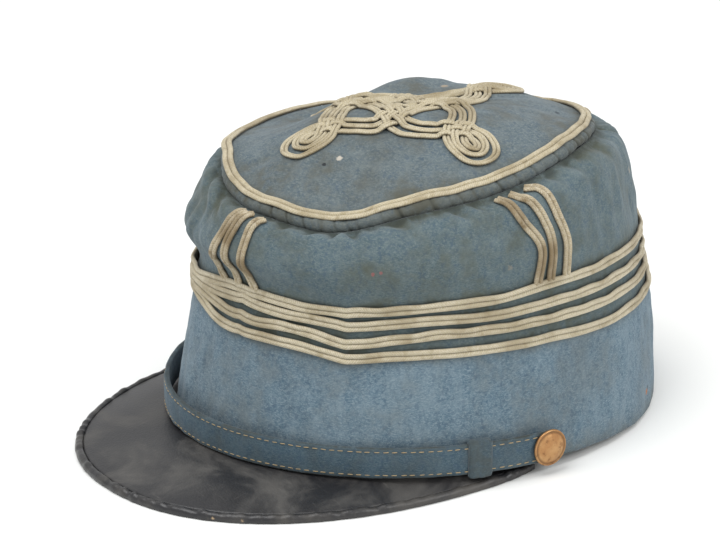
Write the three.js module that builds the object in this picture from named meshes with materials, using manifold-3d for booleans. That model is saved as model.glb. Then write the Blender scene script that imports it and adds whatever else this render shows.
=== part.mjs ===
// A soft wool kepi: a cloth band and a puffed turban sewn together under four rows of flat
// braid, a domed cloth top edged with a piped seam, a braid knot on the top, a leather peak
// with a bound edge, and a cloth chin strap held by two buttons.
//
// Millimetres. +Z is up, the wearer looks along -Y and the wearer's left side is +X.
// An angle round the cap is measured in degrees from the front (0), by the wearer's left
// (90) to the back (180). A level is measured up the cloth of the wall from its rim.

import * as THREE from "three";
import Module from "manifold-3d";
import { mergeVertices } from "three/addons/utils/BufferGeometryUtils.js";

// ---------------------------------------------------------------- driving dimensions

const gap = 0.35; // clearance kept between neighbouring pieces
const clothThickness = 2; // felted wool with its backing
const stations = 48; // sections round every closed ring
const frameShift = 24; // moves the model so that its box is centred on the origin

// The wall, level by level: half width, half length and the centre of its oval plan, and
// its height at the front, the sides and the back.
const wallLevels = [
  { level: 0, halfWidth: 86.5, halfLength: 103.5, centreY: 0.5, front: 8, side: 4.5, back: -1.5 },
  { level: 26, halfWidth: 85.3, halfLength: 100, centreY: 1.5, front: 33, side: 29.8, back: 26 },
  { level: 52, halfWidth: 83.4, halfLength: 95.8, centreY: 2, front: 58, side: 55, back: 50 },
  { level: 72, halfWidth: 82.3, halfLength: 92.6, centreY: 0.3, front: 77.5, side: 75.8, back: 72.5 },
  { level: 83, halfWidth: 82.8, halfLength: 93, centreY: -3.4, front: 86, side: 88, back: 87 },
  { level: 96, halfWidth: 80.5, halfLength: 90, centreY: -4.4, front: 95, side: 100, back: 101 },
  { level: 108, halfWidth: 75.5, halfLength: 85.8, centreY: -4.8, front: 101.5, side: 111, back: 113 },
  { level: 118, halfWidth: 67, halfLength: 78, centreY: -6, front: 100.5, side: 113.8, back: 115 },
];
const fullDepthLevels = { from: 72, to: 96 }; // between these, walls turn square to the cloth
const pipingLevel = 118;

// The turban is sewn from four panels, whose seams lie under the upright braids.
const turbanPanels = [
  { name: "front_left", from: 2.5, to: 91 },
  { name: "back_left", from: 91, to: 180 },
  { name: "back_right", from: 180, to: 269 },
  { name: "front_right", from: 269, to: 362.5 },
];
const seamHalfGap = 0.13; // degrees on each side of a panel's seam
const panelSections = 13;

// Dents, folds and sags of the wall: where each is, how far it reaches round the cap in
// degrees and up the wall, how far it pushes the cloth out and how far it lifts it.
const wallFolds = [
  { name: "front waist", angle: -4, level: 70, wide: 24, tall: 12, push: -1.5, lift: 0 },
  { name: "front bulge", angle: -20, level: 84, wide: 30, tall: 8, push: 1.5, lift: 0 },
  { name: "pinched rows", angle: -34, level: 72, wide: 22, tall: 14, push: -0.6, lift: -6.5 },
  { name: "row dip", angle: 40, level: 62, wide: 14, tall: 22, push: 0, lift: -4 },
  { name: "front left top sag", angle: 36, level: 118, wide: 18, tall: 16, push: 0, lift: -5 },
  { name: "left top sag", angle: 80, level: 118, wide: 24, tall: 16, push: 0, lift: -2.4 },
  { name: "back left top lift", angle: 122, level: 118, wide: 20, tall: 16, push: 0, lift: 1.5 },
  { name: "right top sag", angle: -128, level: 118, wide: 62, tall: 16, push: 0, lift: -14 },
  { name: "front right top lift", angle: -34, level: 118, wide: 20, tall: 16, push: 0, lift: 5 },
  { name: "right shoulder", angle: -50, level: 103, wide: 30, tall: 16, push: -4.2, lift: 0 },
  { name: "right waist", angle: -36, level: 80, wide: 18, tall: 8, push: 0.5, lift: 0 },
  { name: "back left shoulder", angle: 140, level: 98, wide: 28, tall: 12, push: 1.2, lift: 0 },
  { name: "back left rows", angle: 140, level: 62, wide: 30, tall: 12, push: -1, lift: 0 },
  { name: "front fold", angle: -17, level: 88, wide: 5, tall: 12, push: -1.6, lift: 0 },
  { name: "left fold", angle: 112, level: 92, wide: 6, tall: 14, push: -1.4, lift: 0 },
  { name: "back left fold", angle: 134, level: 90, wide: 6, tall: 14, push: -1.8, lift: 0 },
  { name: "back right fold", angle: -152, level: 90, wide: 7, tall: 14, push: -1.6, lift: 0 },
  { name: "right fold", angle: -68, level: 92, wide: 7, tall: 14, push: -1.5, lift: 0 },
];

// The oval edge of the top, how far it stands above the piped seam, and the soft dome in it.
const topEdge = { halfWidth: 64, halfLength: 75.5, centreY: -6, rise: 5.4 };
const dome = { height: 19.7, fullness: 2.2 };
const topDents = [
  { name: "front right dent", x: -36, y: -46, wide: 26, long: 24, lift: -5 },
  { name: "knot seat", x: -14, y: 10, wide: 28, long: 25, lift: -7 },
  { name: "right ridge", x: -43, y: 32, wide: 16, long: 28, lift: 8 },
  { name: "rear puff", x: 0, y: 44, wide: 26, long: 20, lift: 3 },
  { name: "right dent", x: -48, y: -12, wide: 17, long: 24, lift: -9 },
  { name: "back left dent", x: 24, y: 56, wide: 34, long: 26, lift: -3.5 },
];

const braid = { width: 3.6, thickness: 1.5, standOff: 0.9 };
const topBraid = { width: 4.4, thickness: 1.5, above: 1.1 };
const piping = { diameter: 5.6, inside: 3, above: 2.75 };

// The level of each braid row round the cap. The rows were sewn on evenly, but have been
// crushed together on the wearer's right and dented on the left front. The fourth row covers
// the seam between band and turban.
const rowNames = ["first", "second", "third", "fourth"];
const rowRoutes = [
  { angle: -180, first: 72, second: 65.3, third: 58.7, fourth: 52 },
  { angle: -120, first: 72, second: 65.3, third: 58.7, fourth: 52 },
  { angle: -80, first: 65.5, second: 61.9, third: 57.6, fourth: 53.2 },
  { angle: -60, first: 62.4, second: 59.6, third: 56.6, fourth: 53.6 },
  { angle: -45, first: 62, second: 59.3, third: 56.6, fourth: 53.9 },
  { angle: -30, first: 62.3, second: 59.4, third: 56.7, fourth: 54 },
  { angle: -21, first: 62.6, second: 59.6, third: 56.8, fourth: 54 },
  { angle: -13, first: 63.6, second: 60.2, third: 56.7, fourth: 52.8 },
  { angle: 1.5, first: 66.2, second: 61.6, third: 55.7, fourth: 49.6 },
  { angle: 11, first: 66, second: 61.8, third: 56, fourth: 50.1 },
  { angle: 23.5, first: 66.6, second: 62.2, third: 57.2, fourth: 50.9 },
  { angle: 34, first: 69.2, second: 64.3, third: 57.5, fourth: 50.9 },
  { angle: 48, first: 70.3, second: 64.8, third: 58.5, fourth: 51.6 },
  { angle: 62, first: 69.6, second: 63.9, third: 58.2, fourth: 50.9 },
  { angle: 75, first: 70.6, second: 64.2, third: 58.5, fourth: 51 },
  { angle: 88, first: 72.4, second: 65.4, third: 59.2, fourth: 51.4 },
  { angle: 105, first: 73, second: 65.8, third: 59.2, fourth: 50.9 },
  { angle: 150, first: 72, second: 65.3, third: 58.7, fourth: 52 },
  { angle: 180, first: 72, second: 65.3, third: 58.7, fourth: 52 },
];

// The angle of each upright braid's middle line at four levels, as the cloth has shifted it.
const uprightBraids = [
  { name: "front_1", base: -6, bulge: -1.8, shoulder: 2.3, top: 3.4 },
  { name: "front_2", base: 2.2, bulge: 2.6, shoulder: 5.3, top: 6.3 },
  { name: "front_3", base: 8, bulge: 9.1, shoulder: 10.4, top: 9.8 },
  { name: "left_1", base: 86.2, bulge: 89, shoulder: 84.3, top: 81.8 },
  { name: "left_2", base: 90, bulge: 92.3, shoulder: 90.2, top: 85.5 },
  { name: "left_3", base: 94.7, bulge: 97.2, shoulder: 95, top: 93 },
  { name: "back_1", base: 174.6, bulge: 174.8, shoulder: 176.2, top: 177 },
  { name: "back_2", base: 180, bulge: 180.3, shoulder: 180.2, top: 180.4 },
  { name: "back_3", base: 185.8, bulge: 185.4, shoulder: 184.2, top: 184 },
  { name: "right_1", base: -95.2, bulge: -97, shoulder: -94.6, top: -92.4 },
  { name: "right_2", base: -90.4, bulge: -92.6, shoulder: -90, top: -86.6 },
  { name: "right_3", base: -86, bulge: -88.4, shoulder: -84.8, top: -82.2 },
];
const uprightLevels = { base: 74, bulge: 86, shoulder: 104, top: 116 };
const upright = { width: 3.2, foot: 3, head: 108 }; // its foot is so far above the first row

// The four-armed knot on the top, in its own plane: the straight runs pass beside the
// centre and close in on the arm's axis, where an oval eye starts.
const knot = { x: 1, y: -10.5, turn: -2, run: 11, runEnd: 18, neck: 32, width: 12, thickness: 1.5 };
const knotEye = { centre: 45.5, halfLength: 11.5, halfWidth: 9.5, sides: 16 };
const knotStep = 0.17; // how much higher each arm is sewn on than the one before

// The peak is an oval crescent. Its widest point lies behind the front of the band, and
// its tips curl in under the rim at the temples.
const peak = { halfWidth: 88, widestY: -30, front: 122, back: 75, fullness: 2.2, tipAngle: 106 };
const peakLeather = {
  thickness: 2.2,
  edgeHeight: 0.6, // of its underside, above the floor
  crown: 1.4, // how far its middle stands above a straight fall
  tuck: 1.2, // how far its inner edge goes in under the rim at the front
  templeTuck: 6.2, // and at its tips, where it narrows to nothing
  temples: 84, // where round the rim its tips end
  templeDrop: 0.7,
};
const peakEdgeSection = [
  { out: 0.1, up: 0 },
  { out: 3.2, up: 0 },
  { out: 3.8, up: 1.1 },
  { out: 3.3, up: 2.7 },
  { out: 1.6, up: 3.3 },
  { out: 0.1, up: 2.6 },
];
const peakEdgeWidth = 3.8;

const strap = { width: 12.6, thickness: 2, endAngle: 91, level: 8, frontLower: 8.2, sideLower: 5.4 };
const strapStandOff = { side: 1.9, front: 2.6, angle: -15, wide: 38 };
const slide = { angle: 70, width: 10, thickness: 1, clearance: 0.02 };
const button = { angle: 86.5, radius: 7.5, rimHeight: 1.4, crown: 2.4 };

// ---------------------------------------------------------------- materials

const finish = (color, roughness, metalness = 0) =>
  new THREE.MeshStandardMaterial({ color, roughness, metalness });

const materials = {
  cloth: finish(0x6f879c, 0.95),
  topCloth: finish(0x6d7f8f, 0.95),
  braid: finish(0xb9ad95, 0.85),
  leather: finish(0x2a2a2c, 0.45),
  strap: finish(0x6c8598, 0.95),
  brass: finish(0xb07a45, 0.4, 0.9),
};

// ---------------------------------------------------------------- helpers

const sin = (degrees) => Math.sin(THREE.MathUtils.degToRad(degrees));
const cos = (degrees) => Math.cos(THREE.MathUtils.degToRad(degrees));
const range = (count) => Array.from({ length: count }, (_, i) => i);
const between = (a, b, count) => range(count).map((i) => a + ((b - a) * i) / (count - 1));
const bell = (distance, reach) => Math.exp(-((distance / reach) ** 2));
const turnBetween = (a, b) => ((((a - b + 180) % 360) + 360) % 360) - 180;

// One column of a table as a smooth curve of its key, through every row.
function column(table, key, name, at) {
  const x = table.map((row) => row[key]);
  const y = table.map((row) => row[name]);
  const last = x.length - 1;
  const t = THREE.MathUtils.clamp(at, x[0], x[last]);
  const slope = range(last).map((i) => (y[i + 1] - y[i]) / (x[i + 1] - x[i]));
  const tangent = (i) => {
    if (i === 0) return slope[0];
    if (i === last) return slope[last - 1];
    const before = x[i] - x[i - 1];
    const after = x[i + 1] - x[i];
    return (slope[i] * before + slope[i - 1] * after) / (before + after);
  };
  const i = Math.min(x.filter((v) => v <= t).length - 1, last - 1);
  const step = x[i + 1] - x[i];
  const u = (t - x[i]) / step;
  const rest = 1 - u;
  return (
    y[i] * (1 + 2 * u) * rest ** 2 +
    tangent(i) * step * u * rest ** 2 +
    y[i + 1] * u ** 2 * (3 - 2 * u) -
    tangent(i + 1) * step * u ** 2 * rest
  );
}

// A closed solid through rings of points, all with the same even count. Each ring joins the
// next; the last joins the first when the solid is a loop, and otherwise both ends are
// closed by a strip between the two halves of the ring.
function solidFromRings(rings, isLoop) {
  const count = rings[0].length;
  const positions = rings.flat().flatMap((p) => [p.x, p.y, p.z]);
  const faces = [];
  const quad = (a, b, c, d) => faces.push([a, b, c], [a, c, d]);
  for (const r of range(isLoop ? rings.length : rings.length - 1)) {
    const here = r * count;
    const next = ((r + 1) % rings.length) * count;
    for (const i of range(count)) {
      const j = (i + 1) % count;
      quad(here + i, here + j, next + j, next + i);
    }
  }
  if (!isLoop) {
    const end = (rings.length - 1) * count;
    for (const i of range(count / 2 - 1)) {
      const far = count - 1 - i;
      quad(i, far, far - 1, i + 1);
      quad(end + i, end + i + 1, end + far - 1, end + far);
    }
  }
  const geometry = new THREE.BufferGeometry();
  geometry.setAttribute("position", new THREE.Float32BufferAttribute(positions, 3));
  const volume = faces.reduce((sum, face) => {
    const [a, b, c] = face.map((i) => new THREE.Vector3().fromArray(positions, 3 * i));
    return sum + a.dot(b.cross(c));
  }, 0);
  geometry.setIndex(faces.flatMap((face) => (volume < 0 ? [face[0], face[2], face[1]] : face)));
  return geometry;
}

// ---------------------------------------------------------------- the cap's form

// The outer surface of the wall, before the floor presses the back of its rim flat.
function freeWallPoint(angle, level) {
  const at = (name) => column(wallLevels, "level", name, level);
  const [halfWidth, halfLength] = [at("halfWidth"), at("halfLength")];
  const [front, side, back] = [at("front"), at("side"), at("back")];
  const mean = (front + back + 2 * side) / 4;
  let height = mean + ((front - back) / 2) * cos(angle);
  height += ((front + back - 2 * side) / 4) * cos(2 * angle);
  let push = 0;
  for (const fold of wallFolds) {
    const near = bell(turnBetween(angle, fold.angle), fold.wide) * bell(level - fold.level, fold.tall);
    push += fold.push * near;
    height += fold.lift * near;
  }
  const out = new THREE.Vector2(halfLength * sin(angle), -halfWidth * cos(angle)).normalize();
  return new THREE.Vector3(
    halfWidth * sin(angle) + push * out.x,
    at("centreY") - halfLength * cos(angle) + push * out.y,
    height
  );
}

function wallPoint(angle, level) {
  const point = freeWallPoint(angle, level);
  point.z = Math.max(point.z, 0);
  return point;
}

// The wall's own directions at a point: along (towards larger angles), up and out.
function wallFrame(angle, level) {
  const step = 0.5;
  const point = wallPoint(angle, level);
  const along = freeWallPoint(angle + 1, level).sub(freeWallPoint(angle - 1, level)).normalize();
  const up = freeWallPoint(angle, level + step).sub(freeWallPoint(angle, level - step));
  up.normalize();
  const out = along.clone().cross(up).normalize();
  return { point, along, up, out };
}

// The same point moved out of the wall, or into it when the distance is negative. Low on
// the wall the move is level, so that the rim keeps a flat edge.
function offsetWall(angle, level, distance) {
  const { point, out } = wallFrame(angle, level);
  out.z *= THREE.MathUtils.smoothstep(level, fullDepthLevels.from, fullDepthLevels.to);
  return point.addScaledVector(out.normalize(), distance);
}

// The edge line of the top, which the top braid follows.
function edgePoint(angle) {
  const seam = wallPoint(angle, pipingLevel);
  return new THREE.Vector3(
    topEdge.halfWidth * sin(angle),
    topEdge.centreY - topEdge.halfLength * cos(angle),
    seam.z + topEdge.rise
  );
}

const edgeHeight = range(stations).reduce(
  (sum, i) => sum + edgePoint((360 * i) / stations).z / stations,
  0
);

// The outer surface of the top, from its middle (share 0) to its edge (share 1).
function topPoint(angle, share) {
  const edge = edgePoint(angle);
  const x = edge.x * share;
  const y = topEdge.centreY + (edge.y - topEdge.centreY) * share;
  let z = edgeHeight + (edge.z - edgeHeight) * share ** 2;
  z += dome.height * (1 - share ** dome.fullness);
  for (const dent of topDents) {
    z += dent.lift * bell(x - dent.x, dent.wide) * bell(y - dent.y, dent.long) * (1 - share ** 6);
  }
  return new THREE.Vector3(x, y, z);
}

// The top's surface above a point of the plan.
function topAbove(x, y) {
  const across = x / topEdge.halfWidth;
  const along = (topEdge.centreY - y) / topEdge.halfLength;
  const angle = THREE.MathUtils.radToDeg(Math.atan2(across, along));
  return topPoint(angle, Math.hypot(across, along));
}

const angles = range(stations).map((i) => (360 * i) / stations);

// ---------------------------------------------------------------- cloth walls

// The level of a braid row, by the row's name.
function rowLevel(angle, name) {
  return column(rowRoutes, "angle", name, turnBetween(angle, 0));
}

// A cloth wall: outer face going up, inner face coming down, at the levels found for each
// angle. It goes all the way round, or only through the angles given.
function clothWall(levelsAt, wallAngles = angles) {
  const rings = wallAngles.map((angle) => {
    const levels = levelsAt(angle);
    return [
      ...levels.map((level) => offsetWall(angle, level, 0)),
      ...levels.toReversed().map((level) => offsetWall(angle, level, -clothThickness)),
    ];
  });
  return solidFromRings(rings, wallAngles === angles);
}

// The seam between band and turban runs under the fourth row of braid.
const bandLevels = (angle) => [0, 13, 26, 39, rowLevel(angle, "fourth") - gap];
const turbanLevels = (angle) => [
  ...[rowLevel(angle, "fourth"), 59, 65, 71, 77, 83, 89, 96, 102, 108, 113],
  pipingLevel,
];

// The top is a soft dome, closed in the middle by a small flat facet.
function clothTop() {
  const shares = [0.1, 0.3, 0.48, 0.65, 0.8, 0.88, 0.935];
  const loop = (share, drop) =>
    angles.map((angle) => topPoint(angle, share).add(new THREE.Vector3(0, 0, -drop)));
  const lower = shares.map((share) => loop(share, clothThickness));
  const upper = shares.toReversed().map((share) => loop(share, 0));
  return solidFromRings([...lower, ...upper], false);
}

// ---------------------------------------------------------------- braid and piping

// A flat strip's section: six points round an oval, in the directions given.
function stripSection(centre, across, out, width, thickness) {
  return range(6).map((i) =>
    centre
      .clone()
      .addScaledVector(across, (width / 2) * cos(60 * i))
      .addScaledVector(out, (thickness / 2) * sin(60 * i))
  );
}

// The middle of a braid's section above the cloth, with the wall's own directions there.
function braidFrame(angle, level) {
  const frame = wallFrame(angle, level);
  frame.point.addScaledVector(frame.out, braid.standOff + braid.thickness / 2);
  return frame;
}

// Where the rows are crushed together, each is only as wide as they leave room for.
function braidRow(name) {
  const rings = angles.map((angle) => {
    const { point, up, out } = braidFrame(angle, rowLevel(angle, name));
    const others = rowNames.filter((other) => other !== name);
    const points = others.map((other) => braidFrame(angle, rowLevel(angle, other)).point);
    const room = Math.min(...points.map((other) => other.distanceTo(point)));
    return stripSection(point, up, out, Math.min(braid.width, room - gap), braid.thickness);
  });
  return solidFromRings(rings, true);
}

// An upright strip from just above the first row to just under the piping.
function uprightBraid(route) {
  const line = Object.entries(uprightLevels).map(([name, level]) => ({ level, angle: route[name] }));
  const foot = rowLevel(route.base, "first") + upright.foot;
  const rings = between(foot, upright.head, 7).map((level) => {
    const { point, along, out } = braidFrame(column(line, "level", "angle", level), level);
    return stripSection(point, along, out, upright.width, braid.thickness);
  });
  return solidFromRings(rings, false);
}

const outwardFrom = (point) =>
  new THREE.Vector3(point.x, point.y - topEdge.centreY, 0).normalize();
const upward = new THREE.Vector3(0, 0, 1);

// A ring round the top: its middle line is given for each angle.
function edgeRing(middleLine, width, thickness) {
  const rings = angles.map((angle) => {
    const centre = middleLine(angle);
    return stripSection(centre, outwardFrom(centre), upward, width, thickness);
  });
  return solidFromRings(rings, true);
}

// The piping is a roll of cloth just inside the end of the wall and a little above it.
function pipingLine(angle) {
  const seam = wallPoint(angle, pipingLevel);
  seam.addScaledVector(outwardFrom(seam), -piping.inside);
  return seam.add(new THREE.Vector3(0, 0, piping.above));
}

// The top braid lies on the piping, along the edge of the top.
function topBraidLine(angle) {
  return edgePoint(angle).add(new THREE.Vector3(0, 0, topBraid.above));
}

// ---------------------------------------------------------------- the knot

const wasm = await Module();
wasm.setup();

function toManifold(geometry) {
  const merged = mergeVertices(geometry);
  return new wasm.Manifold(
    new wasm.Mesh({
      numProp: 3,
      vertProperties: new Float32Array(merged.attributes.position.array),
      triVerts: new Uint32Array(merged.index.array),
    })
  );
}

function fromManifold(solid) {
  const mesh = solid.getMesh();
  const geometry = new THREE.BufferGeometry();
  geometry.setAttribute("position", new THREE.Float32BufferAttribute(mesh.vertProperties, 3));
  geometry.setIndex(Array.from(mesh.triVerts));
  return geometry;
}

// A point of the knot in an arm's own plan (along the arm, across it), laid on the top.
function knotPoint(arm, along, across, lift) {
  const turn = knot.turn + 90 * arm;
  const x = knot.x + along * sin(turn) + across * cos(turn);
  const y = knot.y - along * cos(turn) + across * sin(turn);
  const point = topAbove(x, y);
  point.z += lift;
  return point;
}

// One run of three braids side by side: from an arm's neck, past the centre, to the neck
// of the opposite arm.
function knotRun(arm, lift) {
  const path = new THREE.CatmullRomCurve3([
    new THREE.Vector3(knot.neck + 4, -2, 0),
    new THREE.Vector3((knot.neck + knot.runEnd) / 2, knot.run * 0.55, 0),
    new THREE.Vector3(knot.runEnd, knot.run * 0.97, 0),
    new THREE.Vector3(0, knot.run, 0),
    new THREE.Vector3(-knot.runEnd, knot.run * 0.97, 0),
    new THREE.Vector3(-(knot.neck + knot.runEnd) / 2, knot.run * 0.55, 0),
    new THREE.Vector3(-knot.neck - 4, -2, 0),
  ]);
  const rings = between(0, 1, 15).map((t) => {
    const p = path.getPoint(t);
    const d = path.getTangent(t);
    const side = (share, height) => {
      const [along, across] = [p.x - d.y * share, p.y + d.x * share];
      return knotPoint(arm, along, across, lift + height);
    };
    const half = knot.width / 2;
    return [side(-half, 0), side(half, 0), side(half, knot.thickness), side(-half, knot.thickness)];
  });
  return toManifold(solidFromRings(rings, false));
}

function knotEyePlate(arm, lift) {
  const loop = (share, height) =>
    range(knotEye.sides).map((i) => {
      const turn = (360 * i) / knotEye.sides;
      const along = knotEye.centre + knotEye.halfLength * share * cos(turn);
      return knotPoint(arm, along, knotEye.halfWidth * share * sin(turn), lift + height);
    });
  const rings = [loop(0.5, 0), loop(1, 0), loop(1, knot.thickness), loop(0.5, knot.thickness)];
  return toManifold(solidFromRings(rings, false));
}

// The runs and eyes cross a little above each other, and are sewn into one piece.
function topKnot() {
  const base = 2 * gap;
  const parts = range(4).flatMap((arm) => [
    knotRun(arm, base + knotStep * arm),
    knotEyePlate(arm, base + knotStep * (arm + 0.5)),
  ]);
  return fromManifold(parts.reduce((whole, part) => whole.add(part)));
}

// ---------------------------------------------------------------- peak

// The outline of the peak: half an oval in front of its widest line, and a slimmer oval
// behind it, where the tips curl in.
function peakOutline(turn) {
  const power = 2 / peak.fullness;
  const reach = Math.abs(turn) <= 90 ? peak.front : -peak.back;
  return new THREE.Vector3(
    peak.halfWidth * Math.sign(sin(turn)) * Math.abs(sin(turn)) ** power,
    peak.widestY - reach * Math.abs(cos(turn)) ** power,
    0
  );
}

function peakOutward(turn) {
  const ahead = peakOutline(Math.min(turn + 0.5, peak.tipAngle));
  const behind = peakOutline(Math.max(turn - 0.5, -peak.tipAngle));
  const along = ahead.sub(behind);
  return new THREE.Vector3(along.y, -along.x, 0).normalize();
}

const peakTurns = between(-peak.tipAngle, peak.tipAngle, 41);

// The leather: its inner edge is tucked under the rim of the band, and it falls gently to
// its bound edge.
function peakPlate() {
  const rings = peakTurns.map((turn) => {
    const angle = (turn / peak.tipAngle) * peakLeather.temples;
    const tuck = THREE.MathUtils.lerp(peakLeather.tuck, peakLeather.templeTuck, sin(angle) ** 4);
    const inner = offsetWall(angle, 0, -tuck);
    inner.z -= gap + peakLeather.thickness + peakLeather.templeDrop * sin(angle) ** 2;
    const outer = peakOutline(turn).addScaledVector(peakOutward(turn), -peakEdgeWidth - gap);
    outer.z = peakLeather.edgeHeight;
    const lower = between(0, 1, 5).map((share) => {
      const point = inner.clone().lerp(outer, share);
      point.z += peakLeather.crown * share * (1 - share) * 4 * cos(angle) ** 2;
      return point;
    });
    const upper = lower.map((point) => point.clone());
    upper.forEach((point) => (point.z += peakLeather.thickness));
    return [...lower, ...upper.toReversed()];
  });
  return solidFromRings(rings, false);
}

// The rolled leather binding round the outer edge, flat underneath where it rests.
function peakBinding() {
  const rings = peakTurns.map((turn) => {
    const outward = peakOutward(turn);
    const root = peakOutline(turn).addScaledVector(outward, -peakEdgeWidth);
    return peakEdgeSection.map(({ out, up }) => {
      const point = root.clone().addScaledVector(outward, out);
      point.z += up;
      return point;
    });
  });
  return solidFromRings(rings, false);
}

// ---------------------------------------------------------------- strap, slides, buttons

// The middle of the strap's inner face, with the strap's own directions there.
function strapFrame(angle) {
  const lower = strap.sideLower + (strap.frontLower - strap.sideLower) * cos(angle);
  const stand =
    strapStandOff.side + strapStandOff.front * bell(angle - strapStandOff.angle, strapStandOff.wide);
  const rim = wallPoint(angle, strap.level);
  const along = wallPoint(angle + 1, strap.level).sub(wallPoint(angle - 1, strap.level));
  along.z = 0;
  along.normalize();
  const up = new THREE.Vector3(0, 0, 1);
  const out = along.clone().cross(up);
  const point = rim.addScaledVector(out, stand);
  point.z = lower + strap.width / 2;
  return { point, along, up, out };
}

// A point beside the strap: out from its inner face and up from its middle line.
function besideStrap({ point, out, up }, outBy, upBy) {
  return point.clone().addScaledVector(out, outBy).addScaledVector(up, upBy);
}

function chinStrap() {
  const half = strap.width / 2;
  const rings = between(-strap.endAngle, strap.endAngle, 49).map((angle) => {
    const frame = strapFrame(angle);
    return [
      besideStrap(frame, 0, -half),
      besideStrap(frame, strap.thickness, -half),
      besideStrap(frame, strap.thickness, half),
      besideStrap(frame, 0, half),
    ];
  });
  return solidFromRings(rings, false);
}

// A loop of cloth round the strap, with rounded corners.
function strapSlide(angle) {
  const frame = strapFrame(angle);
  const corners = [45, 135, 225, 315].flatMap((turn) => [turn - 35, turn + 35]);
  const rings = corners.map((turn) => {
    const at = (grow, side) => {
      const halfDeep = strap.thickness / 2 + gap;
      const halfTall = strap.width / 2 + gap;
      const outBy = strap.thickness / 2 + Math.sign(cos(turn)) * halfDeep + cos(turn) * grow;
      const upBy = Math.sign(sin(turn)) * halfTall + sin(turn) * grow;
      return besideStrap(frame, outBy, upBy).addScaledVector(frame.along, (side * slide.width) / 2);
    };
    const [inside, outside] = [slide.clearance, slide.thickness];
    return [at(inside, -1), at(outside, -1), at(outside, 1), at(inside, 1)];
  });
  return solidFromRings(rings, true);
}

// A plain slightly domed button with a turned edge, flat at the back.
function buttonMesh(angle) {
  const { radius, rimHeight, crown } = button;
  const profile = [
    new THREE.Vector2(0, 0),
    new THREE.Vector2(radius - 0.6, 0),
    new THREE.Vector2(radius, 0.5),
    new THREE.Vector2(radius, rimHeight - 0.3),
    new THREE.Vector2(radius - 0.5, rimHeight),
    new THREE.Vector2(radius * 0.6, rimHeight + (crown - rimHeight) * 0.7),
    new THREE.Vector2(0, crown),
  ];
  const mesh = new THREE.Mesh(new THREE.LatheGeometry(profile, 24), materials.brass);
  const frame = strapFrame(angle);
  mesh.position.copy(besideStrap(frame, strap.thickness + gap, 0));
  mesh.quaternion.setFromUnitVectors(new THREE.Vector3(0, 1, 0), frame.out);
  return mesh;
}

// ---------------------------------------------------------------- the assembly

const group = new THREE.Group();
group.position.y = frameShift;

function add(name, geometryOrMesh, material) {
  const ready = geometryOrMesh.isMesh;
  const mesh = ready ? geometryOrMesh : new THREE.Mesh(geometryOrMesh, material);
  mesh.name = name;
  group.add(mesh);
}

add("band", clothWall(bandLevels), materials.cloth);
for (const { name, from, to } of turbanPanels) {
  const panelAngles = between(from + seamHalfGap, to - seamHalfGap, panelSections);
  add(`turban_${name}`, clothWall(turbanLevels, panelAngles), materials.cloth);
}
add("top", clothTop(), materials.topCloth);
add("top_piping", edgeRing(pipingLine, piping.diameter, piping.diameter), materials.cloth);
add("top_braid", edgeRing(topBraidLine, topBraid.width, topBraid.thickness), materials.braid);
for (const [i, name] of rowNames.entries()) {
  add(`braid_row_${i + 1}`, braidRow(name), materials.braid);
}
for (const route of uprightBraids) {
  add(`braid_${route.name}`, uprightBraid(route), materials.braid);
}
add("top_knot", topKnot(), materials.braid);
add("peak", peakPlate(), materials.leather);
add("peak_binding", peakBinding(), materials.leather);
add("chin_strap", chinStrap(), materials.strap);
add("strap_slide_left", strapSlide(slide.angle), materials.strap);
add("strap_slide_right", strapSlide(-slide.angle), materials.strap);
add("button_left", buttonMesh(button.angle), null);
add("button_right", buttonMesh(-button.angle), null);

export default group;
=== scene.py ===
# %% [markdown]
# A soft wool kepi, built as a tailor would sew it: a band, a puffed turban, a domed top with
# a piped edge, flat braid sewn over the seams, a leather peak and a buttoned strap.
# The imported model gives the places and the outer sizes. Everything below makes the visible
# surfaces around it. Lengths in the tables are millimetres, and each finished mesh is turned
# into metres once, when its object is made.

# %% Tools and the fixed frame
import math

import bpy
import numpy as np
from mathutils import Matrix, Vector


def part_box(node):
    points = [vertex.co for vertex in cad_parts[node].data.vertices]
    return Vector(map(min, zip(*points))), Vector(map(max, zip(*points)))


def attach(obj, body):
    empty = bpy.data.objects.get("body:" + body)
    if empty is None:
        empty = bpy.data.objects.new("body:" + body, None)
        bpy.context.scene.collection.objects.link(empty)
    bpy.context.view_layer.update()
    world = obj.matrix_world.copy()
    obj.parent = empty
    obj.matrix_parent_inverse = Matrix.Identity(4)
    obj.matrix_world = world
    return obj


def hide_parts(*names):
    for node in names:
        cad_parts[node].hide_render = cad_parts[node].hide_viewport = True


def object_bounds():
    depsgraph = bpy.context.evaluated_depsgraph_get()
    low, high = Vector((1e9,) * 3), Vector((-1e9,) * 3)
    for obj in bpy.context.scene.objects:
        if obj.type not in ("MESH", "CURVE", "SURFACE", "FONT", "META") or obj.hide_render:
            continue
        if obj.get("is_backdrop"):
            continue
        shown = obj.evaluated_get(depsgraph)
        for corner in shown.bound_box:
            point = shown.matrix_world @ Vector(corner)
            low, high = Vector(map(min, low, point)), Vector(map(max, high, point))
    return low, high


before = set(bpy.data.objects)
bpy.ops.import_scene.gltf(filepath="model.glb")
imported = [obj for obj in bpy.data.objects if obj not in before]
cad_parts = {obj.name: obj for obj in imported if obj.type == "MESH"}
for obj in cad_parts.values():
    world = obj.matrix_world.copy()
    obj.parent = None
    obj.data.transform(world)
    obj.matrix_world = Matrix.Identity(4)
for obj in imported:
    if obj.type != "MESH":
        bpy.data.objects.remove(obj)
cad_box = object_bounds()
METRE = 0.001  # metres in one millimetre
rng = np.random.default_rng(1915)  # all chance in this script is drawn from here
print("packed box", [[round(float(v), 4) for v in corner] for corner in cad_box])

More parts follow.
